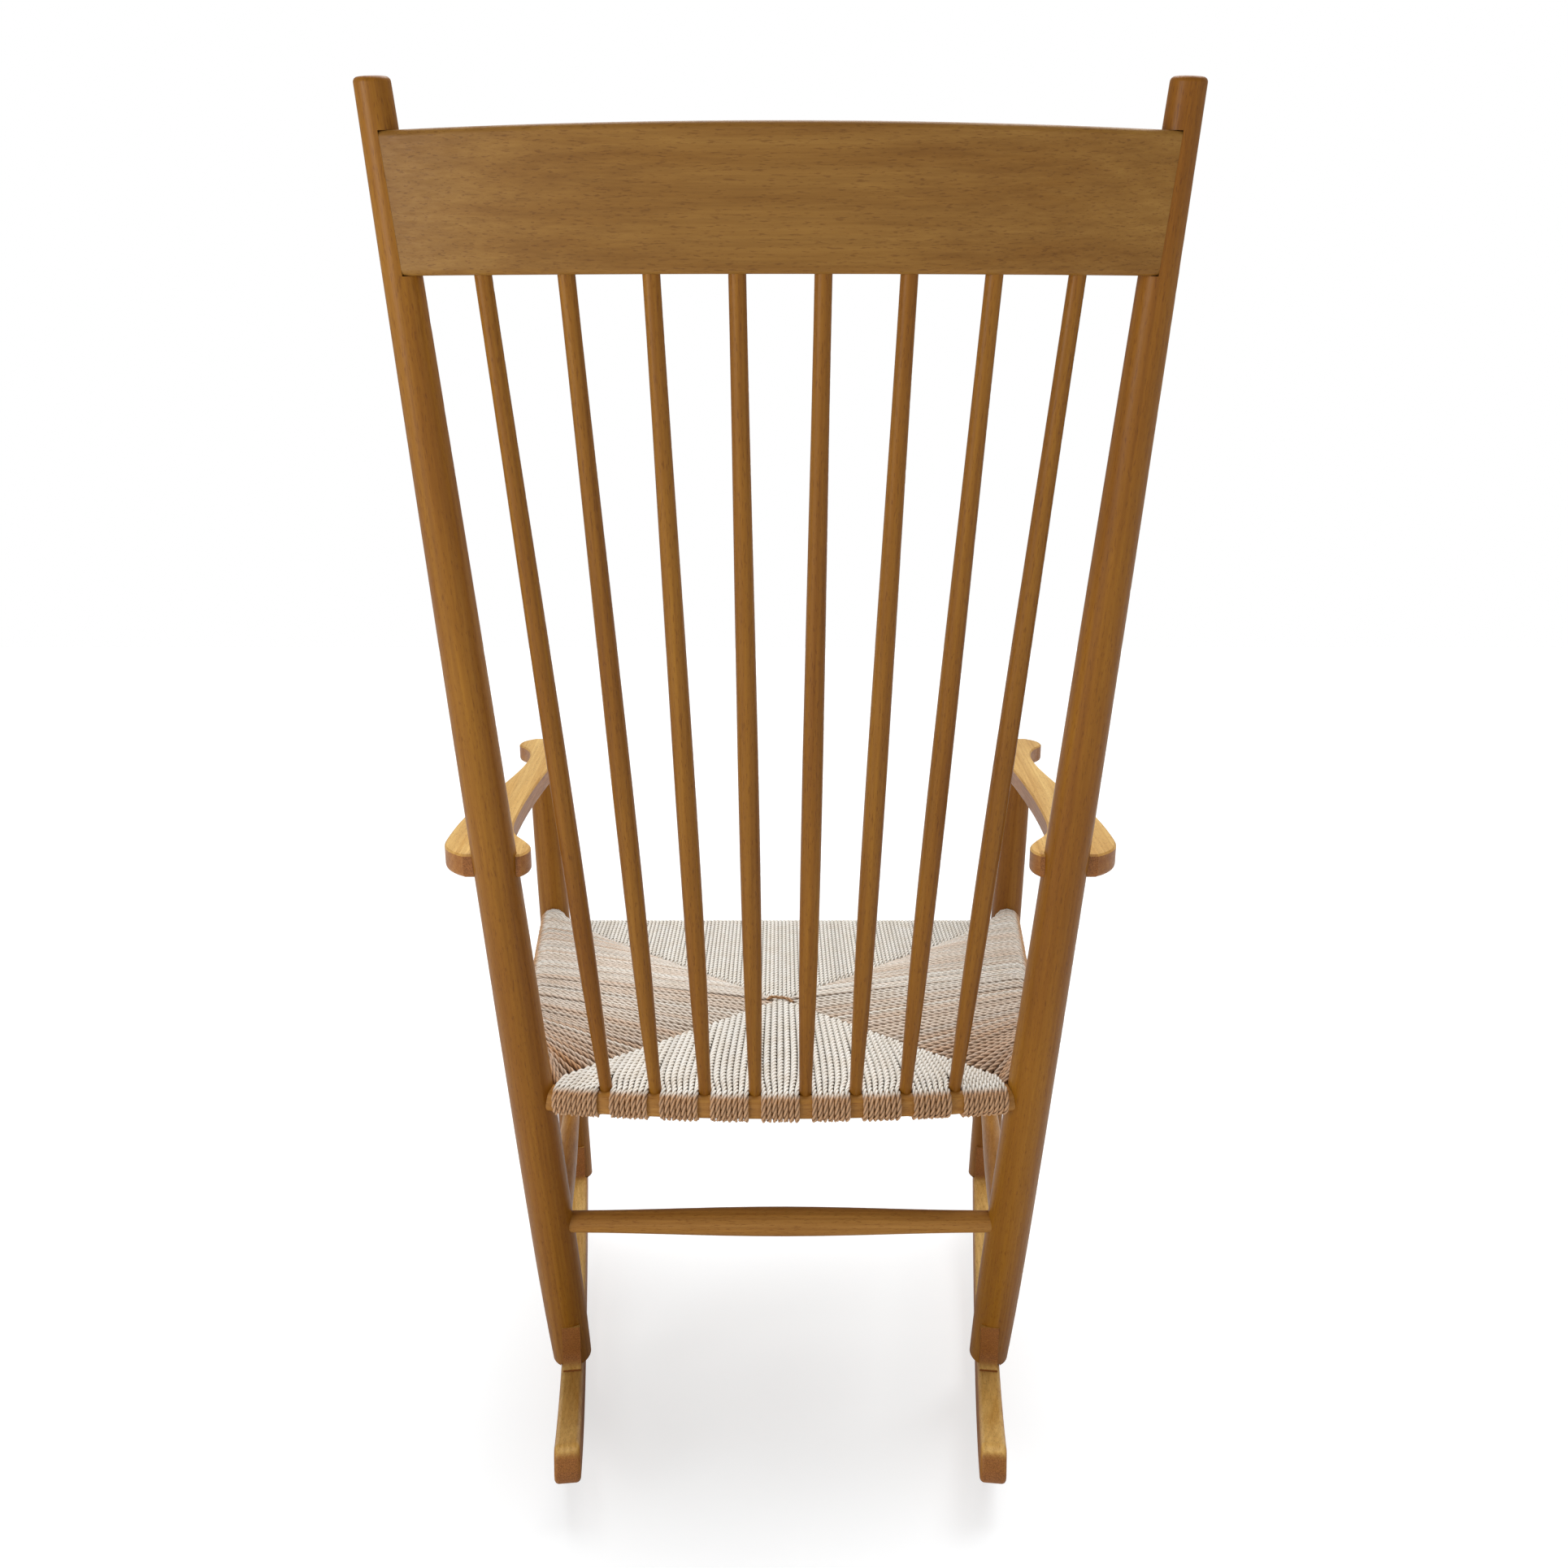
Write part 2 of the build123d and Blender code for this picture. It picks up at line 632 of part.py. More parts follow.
def build_crest(label):
    with BuildPart() as crest:
        add(crest_blank())
        fillet(crest.edges().filter_by(lambda edge: edge.length > CREST_WIDTH * 2), CREST_EDGE)
        for number in range(1, SPINDLES + 1):
            add(spindle_bore(number, 1), mode=Mode.SUBTRACT)
        for side in (-1, 1):
            for dowel in crest_dowel_solids(side, GLUE_GAP):
                add(dowel, mode=Mode.SUBTRACT)
    crest.part.label = label
    return crest.part


# --- Seat rails and stretchers --------------------------------------------------
def post_blank(kind, side, grow):
    """A leg before its joints are cut, grown to leave room round it."""
    foot, up = (back_axis if kind == "back" else front_axis)(side)
    stations = back_post_stations() if kind == "back" else front_post_stations()
    return turned(foot, foot + up * stations[-1][0], stations, grow)


def build_round_rail(label, start, end, radius, start_post, end_post, radii):
    """A round seat rail between two posts, with a round tenon in each."""
    with BuildPart() as rail:
        add(rod(start, end, radius))
        for kind, side in (start_post, end_post):
            add(post_blank(kind, side, GLUE_GAP), mode=Mode.SUBTRACT)
        add(rod(tenon_tip(start, end, radii[0], RAIL_TENON_LENGTH),
                tenon_tip(end, start, radii[1], RAIL_TENON_LENGTH), RAIL_TENON_RADIUS))
    rail.part.label = label
    return rail.part


def rear_rail_blank(grow=0.0):
    """The bowed bar from post axis to post axis, grown all round by grow."""
    end = back_at(1, REAR_RAIL_Z)
    middle = (0, end.Y + REAR_RAIL_BOW)
    tall = REAR_RAIL_TALL + 2 * grow
    radius = bow_radius(end.X, REAR_RAIL_BOW)
    half = REAR_RAIL_DEEP / 2 + grow
    with BuildPart() as bar:
        with BuildSketch(Plane.XY.offset(REAR_RAIL_Z - tall / 2)):
            with Locations((0, middle[1] - radius)):
                Circle(radius + half)
                Circle(radius - half, mode=Mode.SUBTRACT)
            with Locations((0, end.Y)):
                Rectangle(2 * end.X, 4 * REAR_RAIL_BOW, mode=Mode.INTERSECT)
        extrude(amount=tall)
        fillet(bar.edges().filter_by(GeomType.CIRCLE), REAR_RAIL_EDGE + grow)
    return bar.part


def build_rear_rail(label):
    with BuildPart() as rail:
        add(rear_rail_blank())
        for side in (-1, 1):
            add(post_blank("back", side, GLUE_GAP), mode=Mode.SUBTRACT)
        for side in (-1, 1):
            end, heading = back_at(side, REAR_RAIL_Z), rear_rail_heading(side)
            tip = tenon_tip(end, heading, POST_SEAT_RADIUS, RAIL_TENON_LENGTH)
            root = tenon_tip(end, heading, POST_SEAT_RADIUS, -5)
            add(rod(tip, root, RAIL_TENON_RADIUS))
        for number in range(1, SPINDLES + 1):
            add(spindle_bore(number, 0), mode=Mode.SUBTRACT)
    rail.part.label = label
    return rail.part


def build_stretcher(label, start, end, radii, middle):
    """A cigar-shaped stretcher whose ends go straight into the legs."""
    tip = tenon_tip(start, end, radii[0], STRETCHER_TENON)
    other = tenon_tip(end, start, radii[1], STRETCHER_TENON)
    length = (other - tip).length
    near = STRETCHER_TENON + 4
    stations = [(0, STRETCHER_END_RADIUS), (near, STRETCHER_END_RADIUS), (length / 2, middle),
                (length - near, STRETCHER_END_RADIUS), (length, STRETCHER_END_RADIUS)]
    stretcher = turned(tip, other, stations)
    stretcher.label = label
    return stretcher


# --- Woven seat -----------------------------------------------------------------
def weave_centre():
    """Where the four fields meet on top of the seat."""
    front, back = front_at(1, FRONT_RAIL_Z), back_at(1, REAR_RAIL_Z)
    share = (WEAVE_CENTRE_Y - front.Y) / (back.Y - front.Y)
    front_top = FRONT_RAIL_Z + FRONT_RAIL_RADIUS
    back_top = REAR_RAIL_Z + REAR_RAIL_TALL / 2
    top = front_top + (back_top - front_top) * share + CORD_THICK
    return Vector(0, WEAVE_CENTRE_Y, top - WEAVE_DIP)


def seat_corner(depth, side):
    """A corner of the seat in plan, shared by the two fields that meet there."""
    return back_at(side, REAR_RAIL_Z) if depth == "back" else front_at(side, FRONT_RAIL_Z)


def field_prism(first, second):
    """The wedge of plan, from the seat's centre past two corners, that one field fills."""
    centre = weave_centre()
    middle = (first + second) / 2
    outward = Vector(middle.X - centre.X, middle.Y - centre.Y, 0).normalized()
    apex = centre + outward * (2 * MITRE_GAP)
    far = [apex + (corner - centre) * 1.25 for corner in (first, second)]
    with BuildPart() as prism:
        with BuildSketch(Plane.XY.offset(REAR_RAIL_Z - 100)):
            with BuildLine():
                Polyline(*[(p.X, p.Y) for p in (apex, *far)], close=True)
            make_face()
        extrude(amount=200 + FRONT_RAIL_Z - REAR_RAIL_Z)
    return prism.part


def field_panel(rail_line, rail_radius):
    """The layers of cord between a rail's axis and the seat's centre, as one slab."""
    lift = Vector(0, 0, rail_radius + CORD_THICK)
    edge, centre = [point + lift for point in rail_line], weave_centre()
    along = edge[-1] - edge[0]
    normal = along.cross(centre - edge[0]).normalized()
    normal = normal if normal.Z > 0 else -normal
    plane = Plane(origin=edge[0], x_dir=along, z_dir=normal)
    outline = [plane.to_local_coords(point) for point in (*edge, centre)]
    with BuildPart() as slab:
        with BuildSketch(plane):
            with BuildLine():
                Polyline(*[(p.X, p.Y) for p in outline], close=True)
            make_face()
        extrude(amount=-2 * (rail_radius + CORD_THICK))
    return slab.part


def build_field(label, rail_line, rail_radius, sleeve, corners, keep_clear):
    """One field of the weave: a slab out to its rail and a sleeve of cord round the rail."""
    with BuildPart() as field:
        add(field_panel(rail_line, rail_radius))
        add(sleeve)
        add(field_prism(*[seat_corner(*corner) for corner in corners]), mode=Mode.INTERSECT)
        for wood in keep_clear:
            add(wood, mode=Mode.SUBTRACT)
    field.part.label = label
    return field.part


def bare_gaps():
    """Slots at the spindles, where the rear rail stays bare."""
    slots = []
    for number in range(1, SPINDLES + 1):
        low = spindle_ends(number)[0]
        with BuildPart() as slot:
            with BuildSketch(Plane.XY.offset(REAR_RAIL_Z - REAR_RAIL_TALL)):
                with Locations((low.X, low.Y + 15)):
                    Rectangle(BARE_GAP, 30 + 2 * (SPINDLE_LOW_RADIUS + CORD_GAP))
            extrude(amount=3 * REAR_RAIL_TALL)
        slots.append(slot.part)
    return slots


def wood_round_seat():
    """Everything wooden that the woven fields keep clear of."""
    wood = [rear_rail_blank(CORD_GAP)]
    for side in (-1, 1):
        wood += [post_blank(kind, side, CORD_GAP) for kind in ("back", "front")]
        wood.append(rod(*side_rail_ends(side), SIDE_RAIL_RADIUS + CORD_GAP))
    front = front_at(-1, FRONT_RAIL_Z), front_at(1, FRONT_RAIL_Z)
    return wood + [rod(*front, FRONT_RAIL_RADIUS + CORD_GAP)]


def build_seat():
    wood = wood_round_seat()
    front = front_at(1, FRONT_RAIL_Z), front_at(-1, FRONT_RAIL_Z)
    half = back_at(1, REAR_RAIL_Z).X
    rear = [Vector(half * share, rear_rail_y(half * share), REAR_RAIL_Z)
            for share in (1, 0.8, 0.6, 0.4, 0.2, 0, -0.2, -0.4, -0.6, -0.8, -1)]
    fields = [
        build_field("seat_weave_front", front, FRONT_RAIL_RADIUS,
                    rod(*front, FRONT_RAIL_RADIUS + CORD_THICK), (("front", 1), ("front", -1)),
                    wood),
        build_field("seat_weave_rear", rear, REAR_RAIL_TALL / 2, rear_rail_blank(CORD_THICK),
                    (("back", 1), ("back", -1)), wood + bare_gaps()),
    ]
    for side, name in ((1, "left"), (-1, "right")):
        ends = side_rail_ends(side)
        fields.append(build_field(f"seat_weave_{name}", ends, SIDE_RAIL_RADIUS,
                                  rod(*ends, SIDE_RAIL_RADIUS + CORD_THICK),
                                  (("back", side), ("front", side)), wood))
    return fields


# --- Hidden dowels --------------------------------------------------------------
def build_dowels(label, solids):
    with BuildPart() as dowels:
        for solid in solids:
            add(solid)
    dowels.part.label = label
    return dowels.part


# --- The chair ------------------------------------------------------------------
def build_frame():
    pieces = [build_crest("crest_rail"), build_rear_rail("seat_rail_rear")]
    for side, name in ((1, "left"), (-1, "right")):
        pieces += [
            build_back_post(side, f"back_post_{name}"),
            build_front_post(side, f"front_post_{name}"),
            build_rocker(side, f"rocker_{name}"),
            build_arm(side, f"arm_{name}"),
            build_round_rail(f"seat_rail_{name}", *side_rail_ends(side), SIDE_RAIL_RADIUS,
                             ("back", side), ("front", side),
                             (POST_SEAT_RADIUS, FRONT_SEAT_RADIUS)),
            build_stretcher(f"stretcher_{name}", back_at(side, SIDE_STRETCHER_BACK_Z),
                            front_at(side, SIDE_STRETCHER_FRONT_Z),
                            (POST_LOW_RADIUS, FRONT_LOW_RADIUS), SIDE_STRETCHER_MID_RADIUS),
        ]
    pieces += [
        build_round_rail("seat_rail_front", front_at(-1, FRONT_RAIL_Z), front_at(1, FRONT_RAIL_Z),
                         FRONT_RAIL_RADIUS, ("front", -1), ("front", 1),
                         (FRONT_SEAT_RADIUS, FRONT_SEAT_RADIUS)),
        build_stretcher("stretcher_rear", back_at(-1, REAR_STRETCHER_Z),
                        back_at(1, REAR_STRETCHER_Z), (POST_LOW_RADIUS, POST_LOW_RADIUS),
                        REAR_STRETCHER_MID_RADIUS),
        build_stretcher("stretcher_front", front_at(-1, FRONT_STRETCHER_Z),
                        front_at(1, FRONT_STRETCHER_Z), (FRONT_LOW_RADIUS, FRONT_LOW_RADIUS),
                        FRONT_STRETCHER_MID_RADIUS),
    ]
    pieces += [build_spindle(number, f"spindle_{number}") for number in range(1, SPINDLES + 1)]
    crest_dowels = [dowel for side in (-1, 1) for dowel in crest_dowel_solids(side)]
    pieces.append(build_dowels("crest_dowels", crest_dowels))
    pieces.append(build_dowels("arm_dowels", [arm_dowel(side) for side in (-1, 1)]))
    return pieces


os.makedirs("parts", exist_ok=True)
for piece in build_frame() + build_seat():
    export_step(piece, f"parts/{piece.label}.step")
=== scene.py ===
# %% [markdown]
# # A spindle-back rocking chair, dressed for the camera
#
# The chair's posts, rails, arms, spindles and rockers come from solids that were made at real
# size. This lesson keeps those shapes, gives each one a wood that runs along its own grain, and
# weaves the seat strand by strand, because a woven seat is the part that a plain solid can't show.
# Every length is in metres, +Z is up, and the sitter faces -Y.

# %% Load the chair's solids
import math
import bpy
import numpy as np
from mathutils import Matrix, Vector


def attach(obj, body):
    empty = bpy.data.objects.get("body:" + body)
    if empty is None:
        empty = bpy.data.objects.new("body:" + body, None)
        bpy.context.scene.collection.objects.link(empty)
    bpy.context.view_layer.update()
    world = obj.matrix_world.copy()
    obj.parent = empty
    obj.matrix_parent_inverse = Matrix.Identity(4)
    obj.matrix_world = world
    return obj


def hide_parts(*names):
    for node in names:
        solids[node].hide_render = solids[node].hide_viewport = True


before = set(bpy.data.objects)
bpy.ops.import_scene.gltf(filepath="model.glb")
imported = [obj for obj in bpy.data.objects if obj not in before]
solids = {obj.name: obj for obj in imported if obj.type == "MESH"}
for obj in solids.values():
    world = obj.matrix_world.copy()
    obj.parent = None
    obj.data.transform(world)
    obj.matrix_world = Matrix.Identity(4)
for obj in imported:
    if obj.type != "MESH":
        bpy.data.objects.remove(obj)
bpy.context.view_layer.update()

# %% [markdown]
# ## Camera
#
# The chair is looked at from behind and a little above, from close by, so the back flares out
# towards the top. A lens shift frames the chair in the middle of the picture.

# %% Set the camera
SENSOR_WIDTH = 36.0              # millimetres
LENS_PER_FRAME = 1588 / 1929     # focal length over the frame's width
FRAME_SHIFT = (0.0023, 0.0500)   # across and up, as shares of the frame's width
EYE = Vector((0.0, 1.269, 0.747))
PITCH = math.radians(10.12)      # how far the camera looks down

camera_data = bpy.data.cameras.new("camera")
camera_data.sensor_width = SENSOR_WIDTH
camera_data.lens = SENSOR_WIDTH * LENS_PER_FRAME
camera_data.shift_x, camera_data.shift_y = FRAME_SHIFT
camera = bpy.data.objects.new("camera", camera_data)
camera.location = EYE
camera.rotation_euler = (math.radians(90) - PITCH, 0.0, math.radians(180))
bpy.context.scene.collection.objects.link(camera)
bpy.context.scene.camera = camera
print("lens:", round(camera_data.lens, 2), "mm")

# %% [markdown]
# ## Floor
#
# A studio picture needs a pale floor that runs into a white backdrop with no edge. A real studio
# hangs a roll of paper. A very wide flat floor does the same and needs no bend. It is matt paint,
# and for the camera's own rays it also glows a little, which lifts it to white and leaves a faint
# shadow. The first cell holds small helpers that every material in this lesson uses.

# %% Small helpers for materials
def new_material(name):
    material = bpy.data.materials.new(name)
    material.use_nodes = True
    material.node_tree.nodes.clear()
    return material


def link(material, start, end):
    material.node_tree.links.new(start, end)


def add_node(material, kind, **settings):
    node = material.node_tree.nodes.new(kind)
    for key, value in settings.items():
        setattr(node, key, value)
    return node


def finish_material(material, surface):
    out = add_node(material, "ShaderNodeOutputMaterial")
    link(material, surface, out.inputs["Surface"])
    return material


# %% Lay the floor
FLOOR_REACH = 60.0
FLOOR_PAINT = (0.72, 0.72, 0.72, 1)
SEEN_PAINT = (0.455, 0.47, 0.48, 1)
FLOOR_GLOW = 0.65                # for the camera alone: with the seen paint it adds up to white

floor_paint = new_material("matt_floor")
paint = add_node(floor_paint, "ShaderNodeBsdfDiffuse")
paint.inputs["Color"].default_value = FLOOR_PAINT
seen_paint = add_node(floor_paint, "ShaderNodeBsdfDiffuse")
seen_paint.inputs["Color"].default_value = SEEN_PAINT
glow = add_node(floor_paint, "ShaderNodeEmission")
glow.inputs["Strength"].default_value = FLOOR_GLOW
both = add_node(floor_paint, "ShaderNodeAddShader")
link(floor_paint, seen_paint.outputs[0], both.inputs[0])
link(floor_paint, glow.outputs[0], both.inputs[1])
seen = add_node(floor_paint, "ShaderNodeLightPath")
floor_mix = add_node(floor_paint, "ShaderNodeMixShader")
link(floor_paint, seen.outputs["Is Camera Ray"], floor_mix.inputs["Fac"])
link(floor_paint, paint.outputs[0], floor_mix.inputs[1])
link(floor_paint, both.outputs[0], floor_mix.inputs[2])
finish_material(floor_paint, floor_mix.outputs[0])

floor_mesh = bpy.data.meshes.new("floor")
floor_mesh.from_pydata([(-FLOOR_REACH, -FLOOR_REACH, 0), (FLOOR_REACH, -FLOOR_REACH, 0),
                        (FLOOR_REACH, FLOOR_REACH, 0), (-FLOOR_REACH, FLOOR_REACH, 0)],
                       [], [(0, 1, 2, 3)])
floor = bpy.data.objects.new("floor", floor_mesh)
floor.data.materials.append(floor_paint)
bpy.context.scene.collection.objects.link(floor)
print("floor:", 2 * FLOOR_REACH, "m square")

# %% [markdown]
# ## Sky and lamps
#
# The sky is white to the camera and dimmer to everything else, so the background is white and the
# wood isn't washed out. The main light comes from high above the front of the chair and is as wide
# as a big softbox, so tops are bright and the backs of the posts lie in soft shade. An area lamp
# would light the floor in a patch. A sun lamp was chosen, because it lights the floor evenly as
# far as the backdrop. A weak lamp gives the near edges a line of light.

# %% Hang the sky
SKY_STRENGTH = 0.34

sky = bpy.data.worlds.new("studio")
sky.use_nodes = True
sky_tree = sky.node_tree
sky_tree.nodes.clear()
backgrounds = []
for strength in (SKY_STRENGTH, 1.0):
    background = sky_tree.nodes.new("ShaderNodeBackground")
    background.inputs["Color"].default_value = (1, 1, 1, 1)
    background.inputs["Strength"].default_value = strength
    backgrounds.append(background)
sky_path = sky_tree.nodes.new("ShaderNodeLightPath")
sky_mix = sky_tree.nodes.new("ShaderNodeMixShader")
sky_out = sky_tree.nodes.new("ShaderNodeOutputWorld")
sky_tree.links.new(sky_path.outputs["Is Camera Ray"], sky_mix.inputs["Fac"])
sky_tree.links.new(backgrounds[0].outputs[0], sky_mix.inputs[1])
sky_tree.links.new(backgrounds[1].outputs[0], sky_mix.inputs[2])
sky_tree.links.new(sky_mix.outputs[0], sky_out.inputs["Surface"])
bpy.context.scene.world = sky
bpy.context.scene.view_settings.view_transform = "Standard"
print("sky:", SKY_STRENGTH, "on the chair, 1.0 to the camera")

# %% Hang the lamps
SOFTBOX_STRENGTH = 2.85
SOFTBOX_SPREAD = math.radians(55)
SOFTBOX_SHINES = Vector((0.10, 0.26, -0.96))
EDGE_LAMP_PLACE = Vector((1.5, 1.6, 0.8))
EDGE_LAMP_AIM = Vector((0, 0.25, 0.4))
EDGE_LAMP_SIZE = 0.8
EDGE_LAMP_POWER = 12             # watts


def hang(lamp, shines):
    """Put a lamp in the scene so that it shines in a direction."""
    lamp_object = bpy.data.objects.new(lamp.name, lamp)
    lamp_object.rotation_euler = shines.to_track_quat("-Z", "Y").to_euler()
    bpy.context.scene.collection.objects.link(lamp_object)
    print("lamp:", lamp.name, round(lamp.energy, 2))
    return lamp_object


softbox = bpy.data.lights.new("softbox_over_front", "SUN")
softbox.energy = SOFTBOX_STRENGTH
softbox.angle = SOFTBOX_SPREAD
hang(softbox, SOFTBOX_SHINES)

edge_lamp = bpy.data.lights.new("lamp_from_camera_left", "AREA")
edge_lamp.shape = "SQUARE"
edge_lamp.size = EDGE_LAMP_SIZE
edge_lamp.energy = EDGE_LAMP_POWER
hang(edge_lamp, EDGE_LAMP_AIM - EDGE_LAMP_PLACE).location = EDGE_LAMP_PLACE

# %% [markdown]
# ## Beech
#
# The frame is beech with an aged, honey-coloured satin finish. Beech has a fine, even grain: long
# soft bands, faint year rings, and many short dark flecks that lie along the grain. A picture of
# wood could be wrapped round each piece, but it would stretch on the turned ones. Here the grain
# is worked out in space instead, so it runs through a piece as through a real log. Each piece was
# turned or sawn with the grain along its length, so a material is made for each piece, and its
# noises are stretched along the grain and stay fine across it.

# %% Noise, ramps and mixes
def noise(material, vector, scale, detail=3.0, roughness=0.55, distortion=0.0):
    node = add_node(material, "ShaderNodeTexNoise")
    node.inputs["Scale"].default_value = scale
    node.inputs["Detail"].default_value = detail
    node.inputs["Roughness"].default_value = roughness
    node.inputs["Distortion"].default_value = distortion
    link(material, vector, node.inputs["Vector"])
    return node.outputs["Fac"]


def ramp(material, value, stops):
    """A colour ramp whose stops are (place, colour)."""
    node = add_node(material, "ShaderNodeValToRGB")
    elements = node.color_ramp.elements
    while len(elements) < len(stops):
        elements.new(0.5)
    for element, (place, colour) in zip(elements, stops):
        element.position = place
        element.color = (*colour, 1)
    link(material, value, node.inputs["Fac"])
    return node.outputs["Color"]


def grey(value):
    return (value, value, value)


def mix_colours(material, blend, share, first, second):
    node = add_node(material, "ShaderNodeMix", data_type="RGBA", blend_type=blend)
    for socket, value in ((node.inputs[0], share), (node.inputs[6], first),
                          (node.inputs[7], second)):
        if isinstance(value, (float, int)):
            socket.default_value = value
        elif isinstance(value, tuple):
            socket.default_value = (*value, 1)
        else:
            link(material, value, socket)
    return node.outputs[2]


def grain_space(material, along, offset):
    """Object coordinates turned so that Z runs along the grain."""
    place = add_node(material, "ShaderNodeTexCoord")
    turn = add_node(material, "ShaderNodeMapping", vector_type="POINT")
    turn.inputs["Location"].default_value = (offset, offset * 0.7, offset * 1.3)
    rotation = Vector(along).normalized().rotation_difference(Vector((0, 0, 1)))
    turn.inputs["Rotation"].default_value = rotation.to_euler()
    link(material, place.outputs["Object"], turn.inputs["Vector"])
    return turn.outputs["Vector"]


def stretched(material, space, across, along):
    """The grain's space with a pattern size of 1 / across by 1 / along."""
    size = add_node(material, "ShaderNodeMapping", vector_type="POINT")
    size.inputs["Scale"].default_value = (across, across, along)
    link(material, space, size.inputs["Vector"])
    return size.outputs["Vector"]


# %% [markdown]
# Five noises make the grain, from broad bands to fine flecks, and all but the bands only darken
# the wood. The year rings go round a line that lies beside the piece, as the middle of the tree
# did, so they show as long arches. Where the surface faces along the grain, as on a post's top or a
# rocker's tip, the wood shows darker end grain. On the arms and rockers the colour also depends on
# which way the surface faces: the tops are pale, partly from wear and partly as painted light, and
# the sides are darkened as painted shade.

# %% Choose the tints of the wood
class Tint:
    """The light and dark of a piece's wood, and how plainly its year rings show."""

    def __init__(self, light, dark, figure=0.28):
        self.light, self.dark, self.figure = light, dark, figure


TURNED = Tint((0.39, 0.168, 0.013), (0.31, 0.116, 0.006))
SLENDER = Tint((0.365, 0.159, 0.014), (0.290, 0.110, 0.006))
CREST = Tint((0.355, 0.181, 0.037), (0.275, 0.124, 0.018), 0.06)
SAWN = Tint((0.54, 0.272, 0.064), (0.43, 0.190, 0.032))
# The arms' and rockers' tint is pale, partly from wear and partly as painted light on their tops;
# the side colour after it darkens their sides as painted shade.
WORN_AND_LIT = Tint((0.84, 0.56, 0.190), (0.66, 0.370, 0.085))
SIDE_PAINTED_SHADE = (0.56, 0.36, 0.20)
END_GRAIN = (0.190, 0.072, 0.018)
RING_SPACING = 0.0042            # between one year's growth and the next
PITH_PLACE = (0.045, 0.012, 0)   # the middle of the tree, beside the piece
PITH_TURN = (0.035, 0.055, 0)    # and not quite in line with it
RING_DARK = (0.76, 0.66, 0.52)

# Repeats per metre across and along the grain, then the noise's detail, roughness and distortion.
GRAIN = {"bands": (62, 1.7, 4, 0.6, 0.4),
         "lines": (210, 3.5, 3, 0.6, 0.0),
         "streaks": (640, 16, 3, 0.6, 0.0),
         "flecks": (1250, 150, 2, 0.5, 0.0),
         "clouds": (11, 4.5, 3, 0.55, 0.0),
         "pores": (1100, 1100, 3, 0.7, 0.0)}

# How strongly each one darkens the wood, its dark tint, and the noise values at which it is
# darkest and at which it ends.
DARKENING = {"lines": (0.40, (0.74, 0.68, 0.58), 0.36, 0.58),
             "streaks": (0.40, (0.74, 0.68, 0.60), 0.36, 0.60),
             "flecks": (0.55, (0.52, 0.40, 0.28), 0.33, 0.42),
             "clouds": (0.9, (0.80, 0.74, 0.66), 0.30, 0.68)}
print("grain patterns:", ", ".join(GRAIN))


# %% Make the beech of one piece
def year_rings(wood, space):
    """A value that rises and falls with each year's growth."""
    pith = add_node(wood, "ShaderNodeMapping", vector_type="POINT")
    pith.inputs["Location"].default_value = PITH_PLACE
    pith.inputs["Rotation"].default_value = PITH_TURN
    pith.inputs["Scale"].default_value = (1, 1, 0.06)
    link(wood, space, pith.inputs["Vector"])
    years = add_node(wood, "ShaderNodeTexWave", wave_type="RINGS", rings_direction="Z")
    years.inputs["Scale"].default_value = math.pi / (10 * RING_SPACING)
    years.inputs["Distortion"].default_value = 1.2
    years.inputs["Detail"].default_value = 2.0
    years.inputs["Detail Scale"].default_value = 0.35
    link(wood, pith.outputs["Vector"], years.inputs["Vector"])
    return years.outputs["Fac"]


def worn_lit_top_shaded_sides(wood, normal, base):
    """Pale where the surface looks up, partly wear and partly painted light, and painted shade on
    the sides.
    """
    height = add_node(wood, "ShaderNodeSeparateXYZ")
    link(wood, normal, height.inputs[0])
    up_facing = ramp(wood, height.outputs["Z"], [(0.25, grey(0.0)), (0.85, grey(1.0))])
    # Painted shade on the sides; painted light and wear on the tops.
    side = mix_colours(wood, "MULTIPLY", 1.0, base, SIDE_PAINTED_SHADE)
    return mix_colours(wood, "MIX", up_facing, side, base)


def end_grained(wood, normal, along, base, pores):
    """Darker, porous end grain where the surface faces along the grain."""
    facing = add_node(wood, "ShaderNodeVectorMath", operation="DOT_PRODUCT")
    link(wood, normal, facing.inputs[0])
    facing.inputs[1].default_value = Vector(along).normalized()
    size = add_node(wood, "ShaderNodeMath", operation="ABSOLUTE")
    link(wood, facing.outputs["Value"], size.inputs[0])
    is_end = ramp(wood, size.outputs[0], [(0.62, grey(0.0)), (0.97, grey(1.0))])
    end = ramp(wood, pores, [(0.38, END_GRAIN), (0.62, tuple(2.2 * c for c in END_GRAIN))])
    return mix_colours(wood, "MIX", is_end, base, end)


